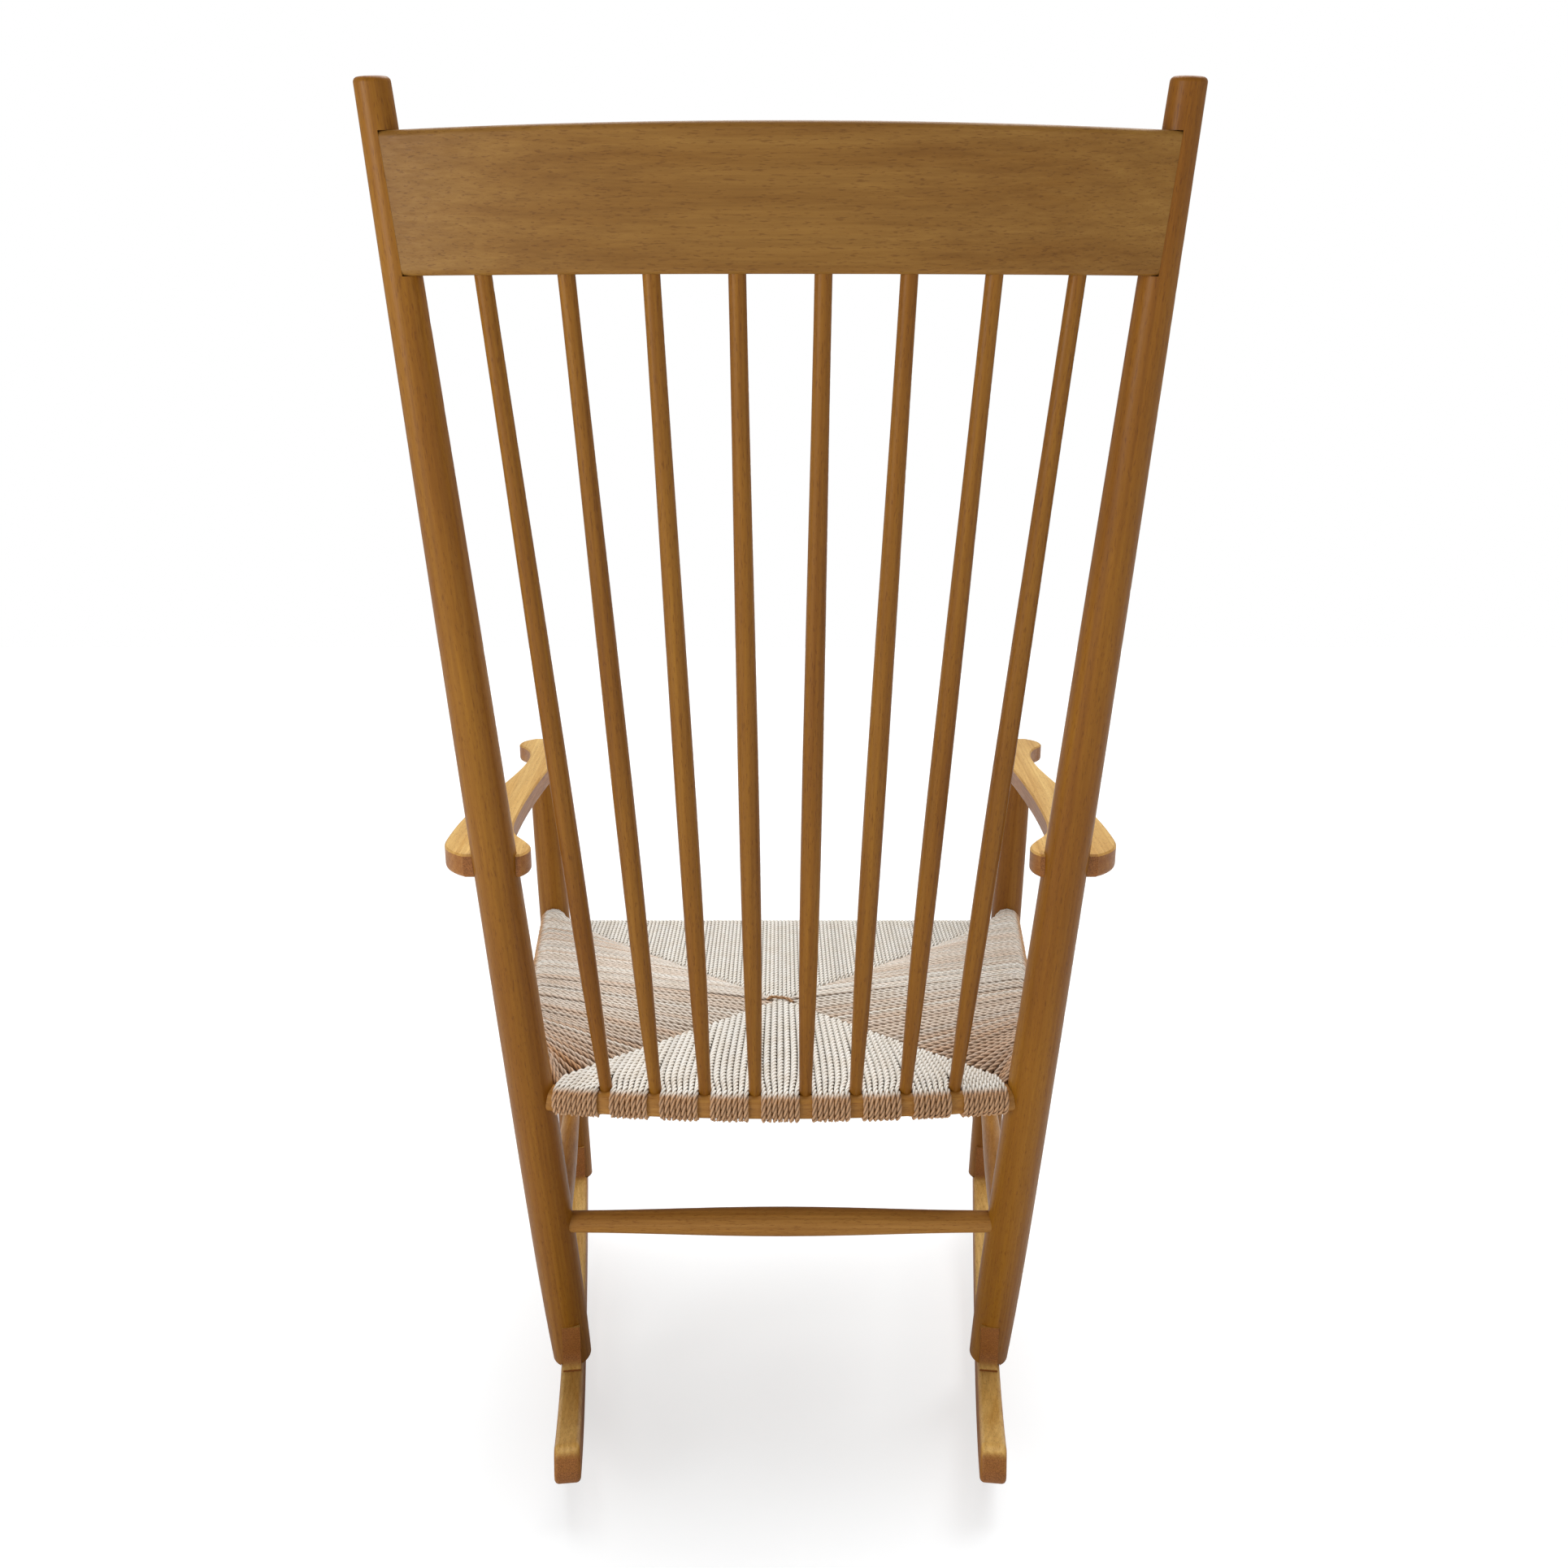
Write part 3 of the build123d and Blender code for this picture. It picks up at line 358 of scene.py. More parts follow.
def beech(name, along, tint, offset):
    wood = new_material(name)
    space = grain_space(wood, along, offset)
    grain = {pattern: noise(wood, stretched(wood, space, across, length), 1.0, *character)
             for pattern, (across, length, *character) in GRAIN.items()}

    base = ramp(wood, grain["bands"], [(0.32, tint.dark), (0.66, tint.light)])
    base = mix_colours(wood, "MULTIPLY", tint.figure, base,
                       ramp(wood, year_rings(wood, space),
                            [(0.15, RING_DARK), (0.75, grey(1.0))]))
    for pattern, (strength, dark, darkest, clear) in DARKENING.items():
        base = mix_colours(wood, "MULTIPLY", strength, base,
                           ramp(wood, grain[pattern], [(darkest, dark), (clear, grey(1.0))]))

    normal = add_node(wood, "ShaderNodeNewGeometry").outputs["Normal"]
    # Painted light and shade on the arms and rockers: pale tops, darker sides.
    if tint is WORN_AND_LIT:
        base = worn_lit_top_shaded_sides(wood, normal, base)
    base = end_grained(wood, normal, along, base, grain["pores"])

    shader = add_node(wood, "ShaderNodeBsdfPrincipled")
    link(wood, base, shader.inputs["Base Color"])
    link(wood, ramp(wood, grain["streaks"], [(0.3, grey(0.50)), (0.7, grey(0.38))]),
         shader.inputs["Roughness"])
    shader.inputs["Specular IOR Level"].default_value = 0.22
    shader.inputs["Coat Weight"].default_value = 0.05
    shader.inputs["Coat Roughness"].default_value = 0.25
    relief = mix_colours(wood, "MIX", 0.5, grain["flecks"], grain["streaks"])
    bump = add_node(wood, "ShaderNodeBump")
    bump.inputs["Strength"].default_value = 0.16
    bump.inputs["Distance"].default_value = 0.0004
    link(wood, relief, bump.inputs["Height"])
    link(wood, bump.outputs[0], shader.inputs["Normal"])
    return finish_material(wood, shader.outputs[0])


# %% [markdown]
# A piece's grain runs along its own length, so each piece gets a direction. The left and right
# pieces mirror each other, and the spindles fan out from the middle.

# %% Give each piece its wood
SPINDLE_FAN = 0.0163             # how much further each spindle leans than the one before
DOWEL_GRAIN = (0.0, 1.0, -0.3)
FROM_SIDE_TO_SIDE = (1.0, 0.0, 0.0)
LEFT_GRAIN = {"back_post": (0.0388, 0.317, 1.0), "front_post": (0.0367, 0.1157, 1.0),
              "rocker": (-0.135, 0.99, 0.0), "arm": (-0.09, 1.0, -0.0787),
              "seat_rail": (-0.11, 1.0, -0.1), "stretcher": (-0.11, 1.0, -0.1)}


def grain_of(name):
    """The direction in which a piece's grain runs."""
    if name.endswith("dowels"):
        return DOWEL_GRAIN
    if name.startswith("spindle"):
        return ((int(name[-1]) - 4.5) * SPINDLE_FAN, 0.31, 1.0)
    kind, _, side = name.rpartition("_")
    if side not in ("left", "right"):
        return FROM_SIDE_TO_SIDE
    across, back, up = LEFT_GRAIN[kind]
    return (-across if side == "right" else across, back, up)


def tint_of(name):
    if name.startswith(("rocker", "arm")):
        return WORN_AND_LIT
    if name.startswith(("stretcher", "seat_rail")):
        return SAWN
    if name.startswith("crest"):
        return CREST
    return SLENDER if name.startswith("spindle") else TURNED


woods = 0
for number, name in enumerate(sorted(solids)):
    if name.startswith("seat_weave"):
        continue
    solids[name].data.materials.clear()
    solids[name].data.materials.append(
        beech(f"beech_{name}", grain_of(name), tint_of(name), 0.37 * number))
    woods += 1
print("beech pieces:", woods)

# %% [markdown]
# ## The woven seat
#
# The seat is one long three-ply paper cord. It goes over a rail, under the seat, up beside the
# last turn and over the next rail, so four triangular fields of parallel strands meet along the
# seat's diagonals. A bump on a flat panel would look right from one side only, so each strand
# here is a real cord. The first step is to know where the rails run.

# %% Say where the rails run
CORD = 0.0024                    # half the cord's thickness
TWIST = 0.0205                   # length of one full turn of the plies


class Rail:
    """A straight or bowed rail with a round or nearly round section."""

    def __init__(self, start, end, half, bow, outward):
        self.start, self.end = np.array(start), np.array(end)
        self.half, self.bow, self.outward = half, bow, np.array(outward)
        self.span = float(np.linalg.norm(self.end - self.start))

    def beyond(self, path):
        """How far each point lies outward of the rail's centre line, and how far above it."""
        if self.outward[0]:
            share = (path[:, 1] - self.start[1]) / (self.end[1] - self.start[1])
        else:
            share = (path[:, 0] - self.start[0]) / (self.end[0] - self.start[0])
        centre = self.start + (self.end - self.start) * share[:, None]
        centre[:, 1] += self.bow * 4 * share * (1 - share)
        return (path - centre) @ self.outward, path[:, 2] - centre[:, 2]

    def at(self, share):
        """The centre, the outward and the upward direction at a share of the length."""
        lean = np.array([0.0, self.bow * 4 * (1 - 2 * share), 0.0])
        centre = (self.start + (self.end - self.start) * share
                  + np.array([0.0, self.bow * 4 * share * (1 - share), 0.0]))
        along = self.end - self.start + lean
        along /= np.linalg.norm(along)
        up = np.array([0.0, 0.0, 1.0]) - along * along[2]
        up /= np.linalg.norm(up)
        out = np.cross(up, along)
        return centre, (out if out @ self.outward > 0 else -out), up


REAR = Rail((-0.2169, 0.1951, 0.348), (0.2169, 0.1951, 0.348), 0.0101, 0.023, (0, 1, 0))
FRONT = Rail((-0.2670, -0.2312, 0.3945), (0.2670, -0.2312, 0.3945), 0.0105, 0.0, (0, -1, 0))
SIDE = Rail((0.2176, 0.2008, 0.366), (0.2677, -0.2288, 0.4155), 0.011, 0.0, (1, 0, 0))
print("rear rail", round(REAR.span, 3), "front rail", round(FRONT.span, 3),
      "side rail", round(SIDE.span, 3))

# %% [markdown]
# ### A cord on a path
#
# A strand follows one path: it comes up at the diagonal, rolls over, runs out to its rail, goes
# round it and comes back below. A path is a few points, made smooth and evenly spaced, so that
# the twist can be wound on it. Three plies make a section with three lobes, and the section
# turns as it goes along. A curve with a bevel would be shorter to write, but it can't carry the
# depth of each groove, which the cord's colour needs.

# %% Smooth a path and shape the cord's section
rng = np.random.default_rng(16)
PLY = 0.53                       # radius of one ply, for a cord of radius 1
GROOVE_DEPTH = 0.43              # how far the grooves between plies go in, for the same cord


def smooth_path(points, spacing):
    """Evenly spaced points along a smooth curve through the given ones, and their distances."""
    points = np.asarray(points, dtype=float)
    padded = np.vstack([2 * points[0] - points[1], points, 2 * points[-1] - points[-2]])
    pieces = []
    for before, start, end, after in zip(padded[:-3], padded[1:-2], padded[2:-1], padded[3:]):
        gap = np.linalg.norm(end - start)
        t = np.linspace(0, 1, max(2, int(gap / spacing) + 1), endpoint=False)[:, None]
        m0 = (end - before) * gap / (gap + np.linalg.norm(start - before))
        m1 = (after - start) * gap / (gap + np.linalg.norm(after - end))
        pieces.append((2 * t**3 - 3 * t**2 + 1) * start + (t**3 - 2 * t**2 + t) * m0
                      + (-2 * t**3 + 3 * t**2) * end + (t**3 - t**2) * m1)
    dense = np.vstack(pieces + [points[-1:]])
    lengths = np.concatenate([[0], np.cumsum(np.linalg.norm(np.diff(dense, axis=0), axis=1))])
    even = np.linspace(0, lengths[-1], max(3, int(lengths[-1] / spacing) + 1))
    return np.stack([np.interp(even, lengths, dense[:, i]) for i in range(3)], axis=1), even


def ply_reach(around):
    """How far a section of three round plies reaches, for a cord of radius 1."""
    turn = np.mod(around + math.pi / 3, 2 * math.pi / 3) - math.pi / 3
    return ((1 - PLY) * np.cos(turn)
            + np.sqrt(PLY**2 - ((1 - PLY) * np.sin(turn))**2))


# %% Wind a cord on its path
COARSE = 3                       # of the hidden stretches, one point in three is kept
UV_FILLED = 0.84                 # share of a strand's strip of the surface map that it fills
UV_EDGE = 0.08                   # left free on each side, so that neighbours don't bleed


def thinned(path, run, coarse_below):
    """Leave out most points of the stretches that hang below a height."""
    keep = (path[:, 2] >= coarse_below) | (np.arange(len(path)) % COARSE == 0)
    keep[[0, -1]] = True
    return path[keep], run[keep]


def wound(path, run, across, around, reach, thickness, first_turn):
    """Rings of points round a path, each one turned a little further than the one before."""
    tangent = np.gradient(path, axis=0)
    tangent /= np.linalg.norm(tangent, axis=1)[:, None]
    side = np.array(across, dtype=float) - tangent * (tangent @ np.array(across))[:, None]
    side /= np.linalg.norm(side, axis=1)[:, None]
    up = np.cross(tangent, side)
    turn = around[None, :] + (2 * math.pi * run / TWIST + first_turn)[:, None]
    return (path[:, None, :] + thickness[:, None, None] * reach[None, :, None]
            * (side[:, None, :] * np.cos(turn)[:, :, None]
               + up[:, None, :] * np.sin(turn)[:, :, None]))


def joined(first_index, rows, sides):
    """Faces between each ring and the next."""
    index = first_index + np.arange(rows * sides).reshape(rows, sides)
    a, b = index[:-1], index[1:]
    return np.stack([a, np.roll(a, -1, 1), np.roll(b, -1, 1), b], axis=-1).reshape(-1, 4)


def unrolled(run, sides, strand):
    """Where each face's corners lie when the strand is laid out flat as a strip."""
    start = np.repeat(run[:-1] / run[-1], sides)
    end = np.repeat(run[1:] / run[-1], sides)
    low = strand + UV_EDGE + UV_FILLED * np.tile(np.arange(sides) / sides, len(run) - 1)
    high = low + UV_FILLED / sides
    corners = [np.stack(pair, 1) for pair in ((start, low), (start, high), (end, high), (end, low))]
    return np.stack(corners, axis=1).reshape(-1, 2)


# %% [markdown]
# All strands of a field go into one mesh, which is quicker than hundreds of objects. Three values
# ride on its points for the cord's material: how deep between the plies a point lies, how far its
# colour goes to tan there, partly for browning and partly as painted shade, and how light its
# strand is, which for the inner strands is painted shade.

# %% Collect strands as one mesh
class CordMesh:
    """Collects strands as one mesh."""

    def __init__(self, sides, twisted=True):
        self.sides, self.twisted = sides, twisted
        self.rings, self.faces, self.corners = [], [], []
        self.values = {"groove": [], "tan": [], "tone": []}
        self.count = self.strands = 0

    def add(self, points, spacing, across, tan, tone=1.0, radius=CORD, coarse_below=None):
        """One strand along points. across is a direction that the strand never runs in."""
        path, run = smooth_path(points, spacing)
        if coarse_below is not None:
            path, run = thinned(path, run, coarse_below)
        rows, sides = len(path), self.sides
        around = np.arange(sides) / sides * 2 * math.pi
        reach = ply_reach(around) if self.twisted else np.ones(sides)
        first_turn = rng.uniform(0, 6.28)
        thickness = np.broadcast_to(radius(path) if callable(radius) else radius, rows)
        ring = wound(path, run, across, around, reach, thickness, first_turn)
        self.rings.append(ring.reshape(-1, 3))
        self.faces.append(joined(self.count, rows, sides))
        self.corners.append(unrolled(run, sides, self.strands))
        self.values["groove"].append(np.tile((1 - reach) / GROOVE_DEPTH, rows))
        self.values["tan"].append(np.repeat(tan(path), sides))
        self.values["tone"].append(np.full(rows * sides, tone))
        self.count += rows * sides
        self.strands += 1

    def finish(self, name, material, nodes):
        """Make the Blender object that stands for nodes."""
        points, faces = np.vstack(self.rings), np.vstack(self.faces)
        mesh = bpy.data.meshes.new(name)
        mesh.vertices.add(len(points))
        mesh.vertices.foreach_set("co", points.ravel())
        mesh.loops.add(faces.size)
        mesh.loops.foreach_set("vertex_index", faces.ravel())
        mesh.polygons.add(len(faces))
        mesh.polygons.foreach_set("loop_start", np.arange(0, faces.size, 4))
        mesh.update(calc_edges=True)
        for label, values in self.values.items():
            layer = mesh.attributes.new(label, "FLOAT", "POINT")
            layer.data.foreach_set("value", np.concatenate(values))
        uv = np.vstack(self.corners)
        uv[:, 1] /= self.strands
        mesh.uv_layers.new(name="OFBake").data.foreach_set("uv", uv.ravel())
        mesh.shade_smooth()
        mesh.materials.append(material)
        piece = bpy.data.objects.new(name, mesh)
        bpy.context.scene.collection.objects.link(piece)
        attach(piece, "root")
        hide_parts(*nodes)
        print(name, "strands", self.strands, "faces", len(faces))
        return piece


# %% [markdown]
# ### Paper cord
#
# The cord is cream paper. It is bright where a ply turns up to the light and dark in the grooves
# between plies. On the outer faces of the rails, below and inside the seat and on the side fields,
# the colour goes from cream to tan by a value that each strand carries. The tan is partly browning
# by handling and age, and partly painted shade, because those strands catch less light than the
# rest. Light alone would darken the grooves too little at this size, so the groove's depth darkens
# them as well.

# %% Make the paper cord
CREAM, CREAM_GROOVE = (0.95, 0.945, 0.90), (0.40, 0.325, 0.24)
# TAN stands partly for cord browned by handling and partly for painted shade.
TAN, TAN_GROOVE = (0.70, 0.405, 0.205), (0.13, 0.060, 0.024)

paper_cord = new_material("paper_cord")
cord_space = add_node(paper_cord, "ShaderNodeTexCoord").outputs["Object"]
fibres = noise(paper_cord, cord_space, 1500, 3, 0.65)
blotches = noise(paper_cord, cord_space, 60, 3, 0.6)


def carried(label):
    return add_node(paper_cord, "ShaderNodeAttribute", attribute_name=label).outputs["Fac"]


depth = ramp(paper_cord, carried("groove"), [(0.25, grey(0.0)), (1.0, grey(1.0))])
cream = mix_colours(paper_cord, "MIX", depth, CREAM, CREAM_GROOVE)
# The tan colour is partly cord browned by handling and partly painted shade.
tan_colour_with_shade = mix_colours(paper_cord, "MIX", depth, TAN, TAN_GROOVE)
cord_colour = mix_colours(paper_cord, "MIX", carried("tan"), cream, tan_colour_with_shade)
cord_colour = mix_colours(paper_cord, "MULTIPLY", 0.4, cord_colour,
                          ramp(paper_cord, fibres, [(0.34, (0.76, 0.70, 0.62)),
                                                    (0.60, grey(1.0))]))
cord_colour = mix_colours(paper_cord, "MULTIPLY", 0.5, cord_colour,
                          ramp(paper_cord, blotches, [(0.32, (0.86, 0.80, 0.72)),
                                                      (0.60, grey(1.0))]))
cord_colour = mix_colours(paper_cord, "MULTIPLY", 1.0, cord_colour, carried("tone"))
cord_shader = add_node(paper_cord, "ShaderNodeBsdfPrincipled")
link(paper_cord, cord_colour, cord_shader.inputs["Base Color"])
link(paper_cord, ramp(paper_cord, fibres, [(0.3, grey(0.70)), (0.7, grey(0.55))]),
     cord_shader.inputs["Roughness"])
cord_shader.inputs["Specular IOR Level"].default_value = 0.3
cord_bump = add_node(paper_cord, "ShaderNodeBump")
cord_bump.inputs["Strength"].default_value = 0.3
cord_bump.inputs["Distance"].default_value = 0.0003
link(paper_cord, fibres, cord_bump.inputs["Height"])
link(paper_cord, cord_bump.outputs[0], cord_shader.inputs["Normal"])
finish_material(paper_cord, cord_shader.outputs[0])
print("paper cord:", round(2000 * CORD, 1), "mm thick, a full turn every",
      round(1000 * TWIST, 1), "mm")

# %% [markdown]
# ### Places of the strands
#
# Where the strands lie on each rail decides how the seat looks. On the rear rail they sit in nine
# groups between the spindles, and just inside the rail they spread until they touch again. The
# front rail is covered evenly. The side rails carry the rear rail's strands over a longer
# stretch, so the strands bunch there, with dark gaps between the bunches.

# %% Place the strands on the rails
SPINDLE_PITCH, SPINDLE_HALF_GAP = 0.0429, 0.0052
SPINDLES_PER_HALF = 4
GROUP_STRANDS, OUTER_STRANDS = 7, 9
OUTERMOST = 0.1925
PRESSED = 0.9                    # a strand beside bare wood lies this share of its radius off it


def rear_places():
    """Places of the strands on one half of the rear rail, from the post to the middle."""
    bare = [SPINDLE_PITCH * (number + 0.5) for number in range(SPINDLES_PER_HALF)]
    edge = SPINDLE_HALF_GAP + PRESSED * CORD
    step = (2 * (bare[0] - edge)) / (GROUP_STRANDS - 1)
    places = [step * number for number in range(1, (GROUP_STRANDS + 1) // 2)]
    for low, high in zip(bare[:-1], bare[1:]):
        places += list(np.linspace(low + edge, high - edge, GROUP_STRANDS))
    places += list(np.linspace(bare[-1] + edge, OUTERMOST, OUTER_STRANDS))
    return np.array(places[::-1])


REAR_PLACES = rear_places()
REAR_COUNT, FRONT_COUNT = len(REAR_PLACES), 56
FRONT_PLACES = np.linspace(0.2465, 0.0044, FRONT_COUNT)
CENTRE = np.array([0.0, 0.001, 0.3783])
REAR_CORNER = np.array([0.1905, 0.1775, 0.3600])
FRONT_CORNER = np.array([0.2475, -0.2125, 0.4065])
FIRST_STEP = 0.35                # the first strand lies this share of a step from the corner


def diagonal(corner, count):
    """Places along a diagonal, from its corner to the seat's centre."""
    shares = (np.arange(count) + FIRST_STEP) / (count + FIRST_STEP)
    return [corner + (CENTRE - corner) * share for share in shares]


def bunched(count, loose):
    """Small shifts that pull neighbours together in uneven bunches of two to five strands."""
    shifts, number = np.zeros(count), 0
    while number < count:
        size = int(rng.integers(2, 6))
        middle = (size - 1) / 2
        for place in range(min(size, count - number)):
            shifts[number + place] = (middle - place) * loose
        number += size
    return shifts


REAR_DIAGONAL = diagonal(REAR_CORNER, REAR_COUNT)
FRONT_DIAGONAL = diagonal(FRONT_CORNER, FRONT_COUNT)
print("strands on each half: rear", REAR_COUNT, "front", FRONT_COUNT)

# %% [markdown]
# ### The path of one strand
#
# Round the rail the strand follows a circle. It leaves the circle where a straight line to the
# diagonal just touches it, as a cord under tension does. Near the back corners the diagonal lies
# well below the side rail, so the strand goes further round the rail before it leaves.

# %% Draw one strand's path
DIVE = 0.0085                    # how far a strand's end goes down at the diagonal
ROLL = ((-0.0012, DIVE), (-0.0008, 0.0042), (0.0004, 0.0013))    # out and down, at the diagonal
LOWER_FIELD = 0.0205             # from the upper strands down to the lower ones
SHORTEST_SWELL = 0.03            # a strand shorter than this runs straight
SWELL_PLACES = (0.35, 0.65, 0.86)
WRAP_STEP = 0.42                 # radians between the points round a rail


def leave_angle(outward, upward, reach, sign):
    """Angle on the rail's circle where a line to the point (outward, upward) touches it."""
    away = math.hypot(outward, upward)
    towards = math.atan2(upward, outward)
    if towards * sign < 0:
        towards += sign * 2 * math.pi
    return towards - sign * math.acos(min(1.0, reach / away))


def loop_path(rail, share, crossing, swell=0.0, spread=1, radius=CORD):
    """Points of one strand, from the diagonal over the rail and back below. With a large
    spread it keeps its place at the diagonal until it is close to the rail."""
    centre, out, up = rail.at(share)
    reach = rail.half + radius
    along = np.cross(out, up)

    def flat(point):
        return float((point - centre) @ out), float((point - centre) @ up)

    def on_rail(angle):
        return centre + reach * (out * math.cos(angle) + up * math.sin(angle))

    below = crossing - np.array([0, 0, LOWER_FIELD])
    first = leave_angle(*flat(crossing), reach, 1)
    last = leave_angle(*flat(below), reach, -1)
    crown = on_rail(first)
    inward = crown - crossing
    length = np.linalg.norm(inward)
    inward /= length
    sink = np.array([0.0, 0.0, -1.0])
    points = [crossing + inward * along_strand + sink * down for along_strand, down in ROLL]
    points.append(crossing + inward * min(0.0036, 0.3 * length))
    for part in (SWELL_PLACES if length > SHORTEST_SWELL else ()):
        point = crossing + inward * length * part
        point = point + np.array([0, 0, swell * math.sin(math.pi * part)])
        points.append(point + along * ((crown - crossing) @ along) * (part**spread - part))
    steps = max(4, int((first - last) / WRAP_STEP))
    points += [on_rail(first + (last - first) * step / steps) for step in range(steps + 1)]
    foot = points[-1]
    points += [foot + (below - foot) * 0.5, below + (foot - below) * 0.06, below - sink * 0.004]
    return points


# %% [markdown]
# ### Colour and thickness along a strand
#
# A strand isn't the same from end to end. Above the seat it keeps its colour. On the rail's outer
# face and underneath it is painted tan: partly browning where hands and clothes rub the outer face,
# and partly painted shade, because those faces lie in shade. It is also pulled thin over the
# rail and swells a little where it runs free. Both are functions of the place along the strand.

# %% Say how tan, partly as painted shade, and how thick each stretch of cord is
# Partly browning by handling, partly painted shade: the rail's outer face and the strands below the
# seat are painted towards tan.
WRAP_TAN = 0.95                  # on the rail's outer face and below the seat
SWELL_REACH = 0.035              # this far in from the rail the cord has its full thickness


def smooth_step(low, high, value):
    share = np.clip((value - low) / (high - low), 0, 1)
    return share * share * (3 - 2 * share)


def tan_with_painted_shade(rail, field_tan):
    """Light above the seat; tan on the rail's outer face and on the strands below, partly browning
    by handling and partly painted shade.
    """
    def tan(path):
        outward, above = rail.beyond(path)
        face = smooth_step(0.0120, 0.0080, above) * smooth_step(-0.002, 0.002, outward)
        below = np.arange(len(path)) > np.argmax(outward)
        return field_tan + (WRAP_TAN - field_tan) * np.maximum(face, below)
    return tan


def swelled(rail, radius, more):
    """A cord is pulled thin over its rail and swells a little in the open field."""
    def thickness(path):
        outward, _ = rail.beyond(path)
        return radius + more * smooth_step(0.0, SWELL_REACH, -outward)
    return thickness


# %% [markdown]
# ### The rear and front fields
#
# The strands of these two fields run from front to back and are the palest. Each field has one
# strand in the middle and two halves that mirror each other. On the rear rail the strands lie in
# groups. Just inside it they spread, and there they are drawn a little thicker to fill the field.
# A short brown end of cord lies over the place where all four fields meet.

# %% Weave over the rear and front rails
SPACING = 0.0023                 # length of one facet along a cord
REAR_SWELL = 0.0007              # how much thicker the rear strands grow in the open field
REAR_SPREAD = 6                  # they keep their place at the diagonal until near the rail
BESIDE_THE_MIDDLE = 0.003
PALE_TAN = 0.04
DIAGONAL_GAP = 0.0006            # from the diagonal to a strand's end, on its own rail's side
UNSEEN_BELOW = 0.009             # this far below the diagonal a strand needs fewer points
LOOSE_END = [(-0.013, 0.012, 0.3795), (-0.006, 0.006, 0.3818), (0.002, 0.004, 0.3822),
             (0.009, -0.001, 0.3812), (0.014, 0.002, 0.3785)]
LOOSE_END_RADIUS = 0.0017
LOOSE_END_TONE = 0.8


def end_strand(field, rail, place, crossing, sign, radius, more, spread=1):
    share = 0.5 + sign * place / rail.span
    cross = np.array([sign * crossing[0], crossing[1], crossing[2]])
    cross = cross + DIAGONAL_GAP * rail.outward
    field.add(loop_path(rail, share, cross, spread=spread, radius=radius), SPACING,
              (1.0, 0.0, 0.0), tan_with_painted_shade(rail, PALE_TAN),
              float(np.clip(rng.normal(0.97, 0.03), 0.88, 1.0)), swelled(rail, radius, more),
              coarse_below=min(rail.start[2] - rail.half, crossing[2] - UNSEEN_BELOW))


rear_field = CordMesh(12)
end_strand(rear_field, REAR, 0.0, CENTRE + np.array([0, BESIDE_THE_MIDDLE, 0]), 1, CORD,
           REAR_SWELL)
for sign in (1, -1):
    for place, crossing in zip(REAR_PLACES, REAR_DIAGONAL):
        end_strand(rear_field, REAR, place, crossing, sign, CORD, REAR_SWELL, REAR_SPREAD)
rear_field.add(LOOSE_END, SPACING, (0.0, 0.0, 1.0), lambda path: np.full(len(path), 1.0),
               LOOSE_END_TONE, LOOSE_END_RADIUS)
rear_field.finish("rear_field", paper_cord, ["seat_weave_rear"])

for sign, side in ((1, "left"), (-1, "right")):
    front_field = CordMesh(12)
    if sign == 1:
        end_strand(front_field, FRONT, 0.0, CENTRE - np.array([0, BESIDE_THE_MIDDLE, 0]), 1,
                   CORD, 0.0)
    for place, crossing in zip(FRONT_PLACES, FRONT_DIAGONAL):
        end_strand(front_field, FRONT, place, crossing, sign, CORD, 0.0)
    front_field.finish(f"front_field_{side}", paper_cord, ["seat_weave_front"])


# %% [markdown]
# ### The side fields
#
# Each side field is two pieces, one in front of the seat's centre and one behind it. In the front
# one the strands are packed close. In the rear one the same number of strands as on half the rear
# rail covers a longer stretch, so they bunch, and near the back corner the cord takes a few extra
# turns. The side fields are painted towards tan as painted shade, darkest at the back corner, which
# lies in shade. Small random shifts keep the rows from looking machined.

# %% Weave over the side rails
SIDE_DROP = 0.0013               # side strands lie this much lower at the diagonals
REAR_END, MIDDLE, FRONT_END = 0.098, 0.483, 0.955
TURNS_START = 0.066              # where on the rail the extra turns begin
CORNER_TURNS = [REAR_CORNER + step * np.array([0.0012, 0.0042, -0.0012]) for step in (3, 2, 1)]
TIGHT_CORD = 0.00205             # the same cord where the strands are pressed together
# The painted tan of the side fields, which is painted shade, also differs at random from strand to
# strand by this much.
TAN_SPREAD = 0.12                # how much the browning differs from strand to strand
UNEVEN_PLACE = 0.00012           # how far a strand strays along the rail
UNEVEN_HEIGHT = 0.0003
# The tans below are painted shade, from the back corner, which lies in shade, to the centre.
FRONT_STRETCH = {"loose": 0.0004, "tans": (0.16, 0.30), "swell": 0.0035,
                 "radius": TIGHT_CORD, "more": 0.00005}
REAR_STRETCH = {"loose": 0.0010, "tans": (0.90, 0.30), "swell": 0.0,
                "radius": CORD, "more": 0.00025}
FULLY_DRAWN = 8                  # up to this one from the corner, strands keep all their points


def mirrored(along_side, sign):
    """A value that is worked out on the left side, used on either side."""
    return lambda path: along_side(path * np.array([sign, 1.0, 1.0]))


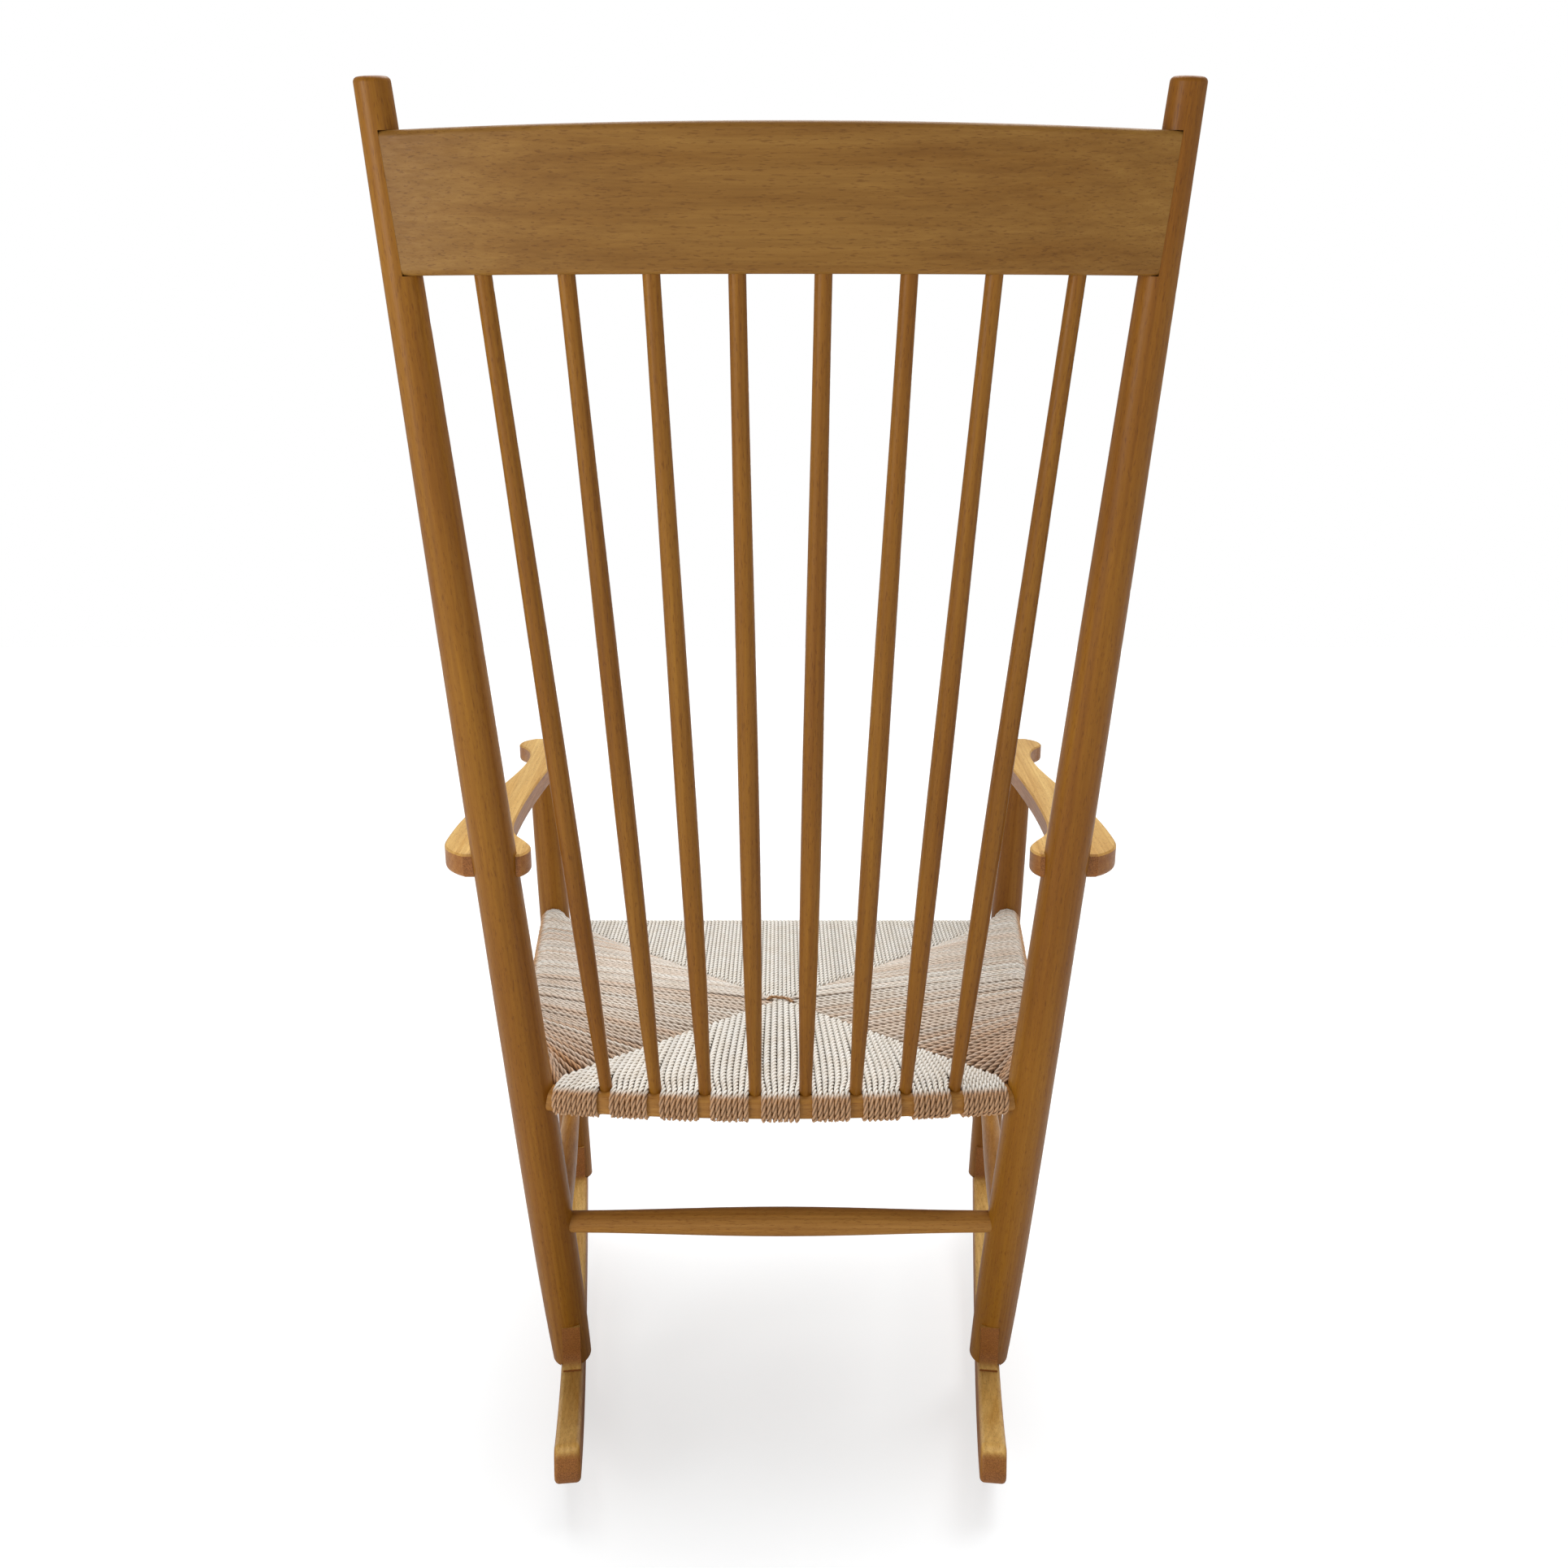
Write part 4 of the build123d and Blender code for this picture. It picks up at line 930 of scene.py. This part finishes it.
def side_field(name, crossings, shares, sign, loose, tans, swell, radius, more):
    """Strands over one side rail, for the half of it that shares covers. tans are how far the
    strands are painted towards tan, as painted shade, at the corner and at the centre, and swell is
    how far they arch upward."""
    field = CordMesh(12)
    shifts = bunched(len(crossings), loose)
    corner_tan, centre_tan = tans
    for number, (share, crossing) in enumerate(zip(shares, crossings)):
        part = number / (len(crossings) - 1)
        share = share + shifts[number] / SIDE.span + rng.normal(0, UNEVEN_PLACE) / SIDE.span
        towards = np.array([0.0, -math.copysign(1, share - MIDDLE) * shifts[number] * 0.5, 0.0])
        drop = -SIDE_DROP + rng.normal(0, UNEVEN_HEIGHT)
        cross = crossing + np.array([DIAGONAL_GAP, 0.0, drop]) + towards
        path = loop_path(SIDE, share, cross, swell=swell * (1 - part), radius=radius)
        # Painted shade: strands nearer the back corner are painted more tan.
        tan = centre_tan + (corner_tan - centre_tan) * (1 - part)**3 + rng.normal(0, TAN_SPREAD)
        tan = float(np.clip(tan, 0, 1))
        field.add([point * np.array([sign, 1.0, 1.0]) for point in path], SPACING,
                  (0.0, 1.0, 0.0), mirrored(tan_with_painted_shade(SIDE, tan), sign),
                  float(np.clip(rng.normal(0.96, 0.06), 0.78, 1.0)),
                  mirrored(swelled(SIDE, radius, more), sign),
                  coarse_below=cross[2] - UNSEEN_BELOW if number > FULLY_DRAWN else None)
    field.finish(name, paper_cord, [f"seat_weave_{name.split('_')[0]}"])


FRONT_SHARES = np.linspace(FRONT_END, MIDDLE + 0.004, FRONT_COUNT)
REAR_SHARES = np.concatenate([np.linspace(TURNS_START, REAR_END - 0.008, len(CORNER_TURNS)),
                              np.linspace(REAR_END, MIDDLE - 0.007, REAR_COUNT)])
for sign, side in ((1, "left"), (-1, "right")):
    side_field(f"{side}_field_front", FRONT_DIAGONAL, FRONT_SHARES, sign, **FRONT_STRETCH)
    side_field(f"{side}_field_rear", CORNER_TURNS + REAR_DIAGONAL, REAR_SHARES, sign,
               **REAR_STRETCH)

# %% [markdown]
# ### The strands inside
#
# Between the upper and lower layers the same cord crosses the seat from side to side and from
# back to front. It is what shows, in shade, through the gaps, and it is painted tan and darker
# than the cord above as painted shade. Plain round strands are enough for it, because no light
# falls on their twist.

# %% Lay the hidden crossing strands
UNDER_TOP = 0.0054               # from a field's strands down to the crossing ones
INNER_SPACING = 0.012
# Painted shade: the inner strands are painted tan and given darker tones.
INNER_SHADE_TAN = 0.75
CROSSING_RADIUS, CROSSING_SHADE_TONE = 0.0026, 0.85
LENGTHWISE_RADIUS, LENGTHWISE_SHADE_TONE = 0.0031, 0.75
INSIDE_DIAGONAL = 0.004          # from the diagonal to a crossing strand's end
SHORTEST_HALF = 0.004            # half of the shortest crossing strand
LENGTHWISE_DROP = UNDER_TOP + SIDE_DROP + 0.0008    # a little lower than the crossing ones
BOW_HEIGHT = 0.3535
BOW_STRANDS = ((0.183, 0.188), (0.1885, 0.180), (0.194, 0.148), (0.1995, 0.098))


def inner_painted_shade(path):
    return np.full(len(path), INNER_SHADE_TAN)


def cross_seat(half, y, z):
    """A strand from side to side."""
    inner_strands.add([(-half, y, z), (-half / 3, y, z), (half / 3, y, z), (half, y, z)],
                      INNER_SPACING, (0.0, 1.0, 0.0), inner_painted_shade, CROSSING_SHADE_TONE, CROSSING_RADIUS)


inner_strands = CordMesh(6, twisted=False)
for crossings in (REAR_DIAGONAL, FRONT_DIAGONAL):
    for crossing in crossings:
        half, y, z = crossing - np.array([INSIDE_DIAGONAL, 0, UNDER_TOP])
        if half > SHORTEST_HALF:
            cross_seat(half, y, z)
for y, half in BOW_STRANDS:      # in the bow behind the back corners
    cross_seat(half, y, BOW_HEIGHT)

drop = np.array([0, 0, LENGTHWISE_DROP])
for sign in (1, -1):
    for rear in REAR_DIAGONAL:
        share = np.interp(rear[0], [CENTRE[0], FRONT_CORNER[0]], [1, 0])
        front = FRONT_CORNER + (CENTRE - FRONT_CORNER) * share
        ends = [rear - drop, rear + (front - rear) / 3 - drop,
                rear + (front - rear) * 2 / 3 - drop, front - drop]
        inner_strands.add([end * np.array([sign, 1, 1]) for end in ends], INNER_SPACING,
                          (1.0, 0.0, 0.0), inner_painted_shade, LENGTHWISE_SHADE_TONE, LENGTHWISE_RADIUS)
inner_strands.finish("inner_strands", paper_cord, ["seat_weave_front", "seat_weave_rear"])
